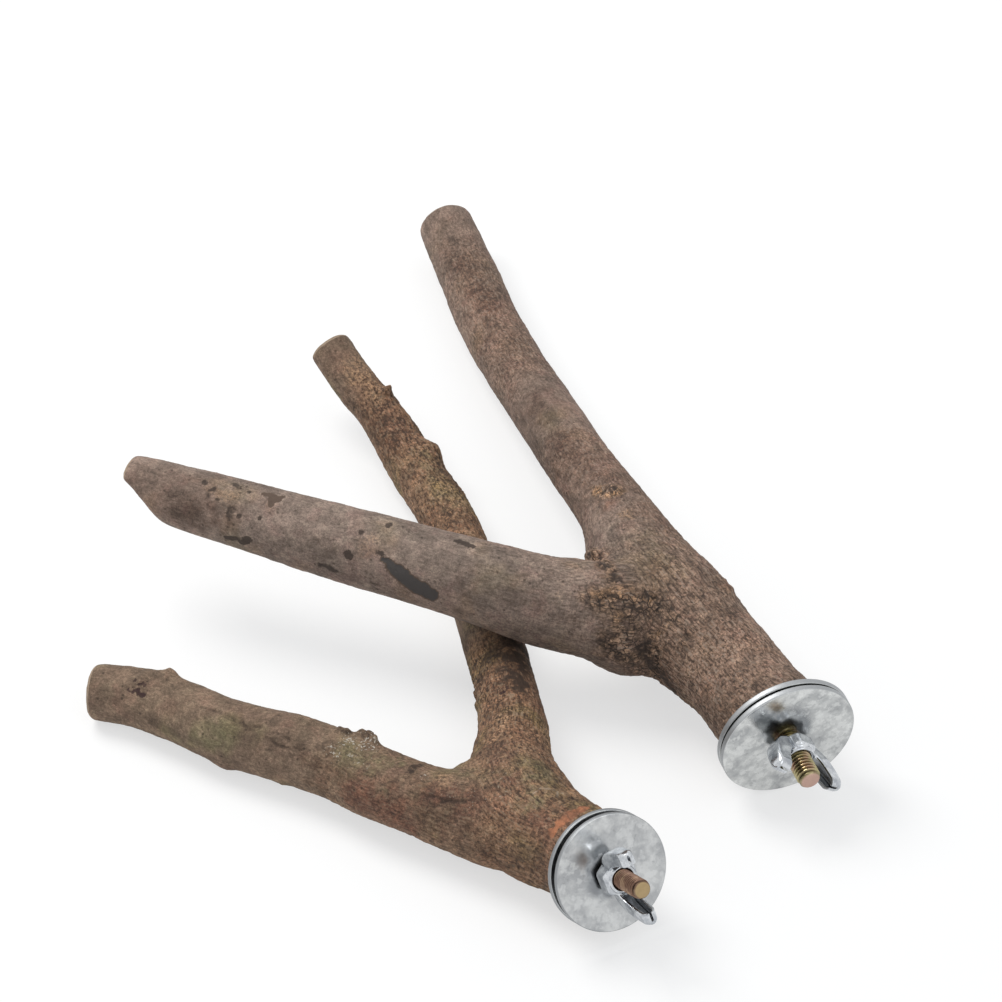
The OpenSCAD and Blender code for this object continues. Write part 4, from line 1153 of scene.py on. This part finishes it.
def wing_nut_mesh(size):
    """Stamped wing nut, fused so that the wings run into the hub as pressed sheet does."""
    place = SIZES[size]
    points, faces = [], []
    for more, their_faces in (hub_mesh(size), wing_mesh(size, 1), wing_mesh(size, -1)):
        faces += [tuple(v + len(points) for v in face) for face in their_faces]
        points += more
    raw = mesh_from(f"{size}_nut", points, faces)
    bore = place["bolt"] / 2 + BORE_FIT
    bore_mesh = mesh_from("bore", *turned_rod([(0, -2), (bore, -2), (bore, 30), (0, 30)]))
    cutter = bpy.data.objects.new("bore", bore_mesh)
    bpy.context.scene.collection.objects.link(cutter)
    fused = baked(raw, "REMESH", mode="VOXEL", voxel_size=NUT_VOXEL * MM)
    fused = baked(fused, "BOOLEAN", object=cutter, operation="DIFFERENCE", solver="EXACT")
    bpy.data.objects.remove(cutter)

    points = points_of(fused)
    bore_gap = np.hypot(points[:, 0], points[:, 1]) - place["bolt"] / 2
    free = ease(bore_gap, 0.25, 0.6) * ease(points[:, 2], 0.02, 0.3)
    points = relax(fused, points, 5, free)
    set_points(fused, points)
    # Painted shade with some soil: darker inside the wings' channels, round the bore and on the
    # underside over the washer
    inward = ease(-normals_of(fused)[:, 0] * np.sign(points[:, 0]), 0.1, 0.6)
    channel = 0.5 * place["wing_width"] * WING_ROOT_SHARE - 0.8 * SHEET_THICK
    folded = (np.abs(points[:, 1]) < channel) & (np.abs(points[:, 0]) > place["hub"] / 2 - 0.6)
    shade_and_soil = np.where(folded, 0.6 * inward * ease(points[:, 2], 0.3, 1.0), 0)
    shade_and_soil = np.maximum(shade_and_soil, 0.8 * (1 - ease(bore_gap, 0.15, 0.5)))
    shade_and_soil = np.maximum(shade_and_soil, 0.7 * (1 - ease(points[:, 2], 0.0, 0.9)))
    put_edges(fused, shade_and_soil)
    seat = END_GAP + 2 * place["thick"] + place["gap"] + place["standoff"]
    set_points(fused, placed(points, on_bolt(size, seat, place["turn"])))
    return shade(fused, sharp_angle=60)


# -------- the perches

barks = {
    "small": bark_finish("reddish bark", {
        "main": (0.192, 0.132, 0.09), "second": (0.17, 0.113, 0.08), "olive": (0.163, 0.142, 0.078),
        "chalky": (0.275, 0.2, 0.135), "red": (0.20, 0.097, 0.062), "deep red": (0.125, 0.062, 0.043),
        "dark": (0.036, 0.024, 0.018), "worn": (1.34, 1.08, 0.88),
    }, speckle=0.24),
    "large": bark_finish("grey-brown bark", {
        "main": (0.252, 0.186, 0.150), "second": (0.19, 0.142, 0.115), "olive": (0.212, 0.164, 0.115),
        "chalky": (0.34, 0.262, 0.205), "red": (0.24, 0.13, 0.085), "deep red": (0.15, 0.075, 0.052),
        "dark": (0.042, 0.03, 0.024), "worn": (1.08, 0.92, 0.8),
    }, speckle=0.2),
}
washer_zinc = {
    "small": metal_finish("dull zinc", (0.58, 0.59, 0.59), (0.37, 0.38, 0.39), rough=0.14,
                          mottle_scale=150, grain_bump=0.12, shade_and_soil_tone=(0.22, 0.23, 0.24)),
    "large": metal_finish("mottled zinc", (0.68, 0.69, 0.68), (0.385, 0.395, 0.4), rough=0.12,
                          mottle_scale=150, grain_bump=0.12, shade_and_soil_tone=(0.26, 0.27, 0.28)),
}
nut_zinc = metal_finish("bright zinc", (0.66, 0.68, 0.70), (0.36, 0.38, 0.41), rough=0.04,
                        mottle_scale=260, grain_bump=0.08, shade_and_soil_tone=(0.12, 0.125, 0.13))
stud_zinc = {
    "small": metal_finish("reddish plating", (0.27, 0.165, 0.115), (0.16, 0.095, 0.07), rough=0.2,
                          mottle_scale=420, grain_bump=0.1, shade_and_soil_tone=(0.012, 0.008, 0.007),
                          patina=(0.4, 0.27, 0.18), end=(0.46, 0.35, 0.19)),
    "large": metal_finish("golden plating", (0.50, 0.44, 0.24), (0.32, 0.27, 0.14), rough=0.18,
                          mottle_scale=320, grain_bump=0.1, shade_and_soil_tone=(0.03, 0.026, 0.018),
                          patina=(0.5, 0.34, 0.24), end=(0.6, 0.4, 0.35)),
}
thread = thread_tree()

for size, place in SIZES.items():
    outer_seat = END_GAP + place["thick"] + place["gap"]
    new_piece(f"{size}_bark", bark_mesh(size),
              f"{size}_branch", f"{size}_perch", barks[size])
    new_piece(f"{size}_stud", stud_mesh(size, thread, stud_zinc[size]),
              f"{size}_hanger_bolt", f"{size}_perch", stud_zinc[size])
    new_piece(f"{size}_washer_inside", washer_mesh(size, END_GAP),
              f"{size}_inner_washer", f"{size}_inner_washer", washer_zinc[size])
    new_piece(f"{size}_washer_outside", washer_mesh(size, outer_seat),
              f"{size}_outer_washer", f"{size}_outer_washer", washer_zinc[size])
    new_piece(f"{size}_stamped_nut", wing_nut_mesh(size),
              f"{size}_wing_nut", f"{size}_wing_nut", nut_zinc)


# -------- floor, light and camera

WHITE = (1, 1, 1, 1)
FLOOR_GLOW = 0.62


def make_world():
    world = bpy.data.worlds.new("studio")
    bpy.context.scene.world = world
    world.use_nodes = True
    n = Nodes(world.node_tree)
    n.tree.nodes.clear()
    lit = n.add("ShaderNodeBackground", Color=(0.93, 0.965, 1.0, 1), Strength=0.62)
    white = n.add("ShaderNodeBackground", Color=WHITE, Strength=1.0)
    n.set(n.add("ShaderNodeOutputWorld"), 0, n.mixed_shader(n.seen_white(), lit, white))


def make_floor():
    far = 3.0
    mesh = bpy.data.meshes.new("floor")
    corners = [(-far, -far, 0), (far, -far, 0), (far, far, 0), (-far, far, 0)]
    mesh.from_pydata(corners, [], [(0, 1, 2, 3)])
    floor = bpy.data.objects.new("floor", mesh)
    bpy.context.scene.collection.objects.link(floor)
    paper = Finish("white paper")
    paper.shader.inputs["Base Color"].default_value = (0.93, 0.93, 0.93, 1)
    paper.shader.inputs["Roughness"].default_value = 0.9
    paper.shader.inputs["Specular IOR Level"].default_value = 0.0
    glow = paper.add("ShaderNodeEmission", Color=WHITE, Strength=1.0)
    share = paper.times(paper.seen_white(), FLOOR_GLOW)
    output = paper.tree.nodes["Material Output"]
    paper.set(output, "Surface", paper.mixed_shader(share, paper.shader, glow))
    mesh.materials.append(paper.material)


def area_light(name, place, towards, width, watts, colour):
    lamp = bpy.data.lights.new(name, "AREA")
    lamp.shape = "DISK"
    lamp.size = width
    lamp.energy = watts
    lamp.color = colour
    holder = bpy.data.objects.new(name, lamp)
    bpy.context.scene.collection.objects.link(holder)
    holder.location = place
    holder.rotation_euler = (Vector(towards) - Vector(place)).to_track_quat("-Z", "Y").to_euler()


def make_camera():
    """Looks along +Y from 39 degrees above the floor, as the photograph does."""
    lens = bpy.data.cameras.new("camera")
    lens.lens = 220
    lens.sensor_width = 36
    lens.clip_start, lens.clip_end = 0.05, 50
    camera = bpy.data.objects.new("camera", lens)
    bpy.context.scene.collection.objects.link(camera)
    tilt = math.radians(39)
    target, away = Vector((0.0085, 0.0356, 0)), 1.63
    camera.location = target + away * Vector((0, -math.cos(tilt), math.sin(tilt)))
    camera.rotation_euler = (math.radians(90) - tilt, 0, 0)
    bpy.context.scene.camera = camera


make_camera()
make_world()
make_floor()
area_light("key", (-0.55, 0.35, 1.0), (0, 0, 0.01), 0.7, 9.5, (1, 0.985, 0.96))
area_light("fill", (0.7, -0.7, 0.8), (0, 0, 0.01), 0.9, 2.0, (0.97, 0.985, 1))
bpy.context.scene.view_settings.view_transform = "Standard"
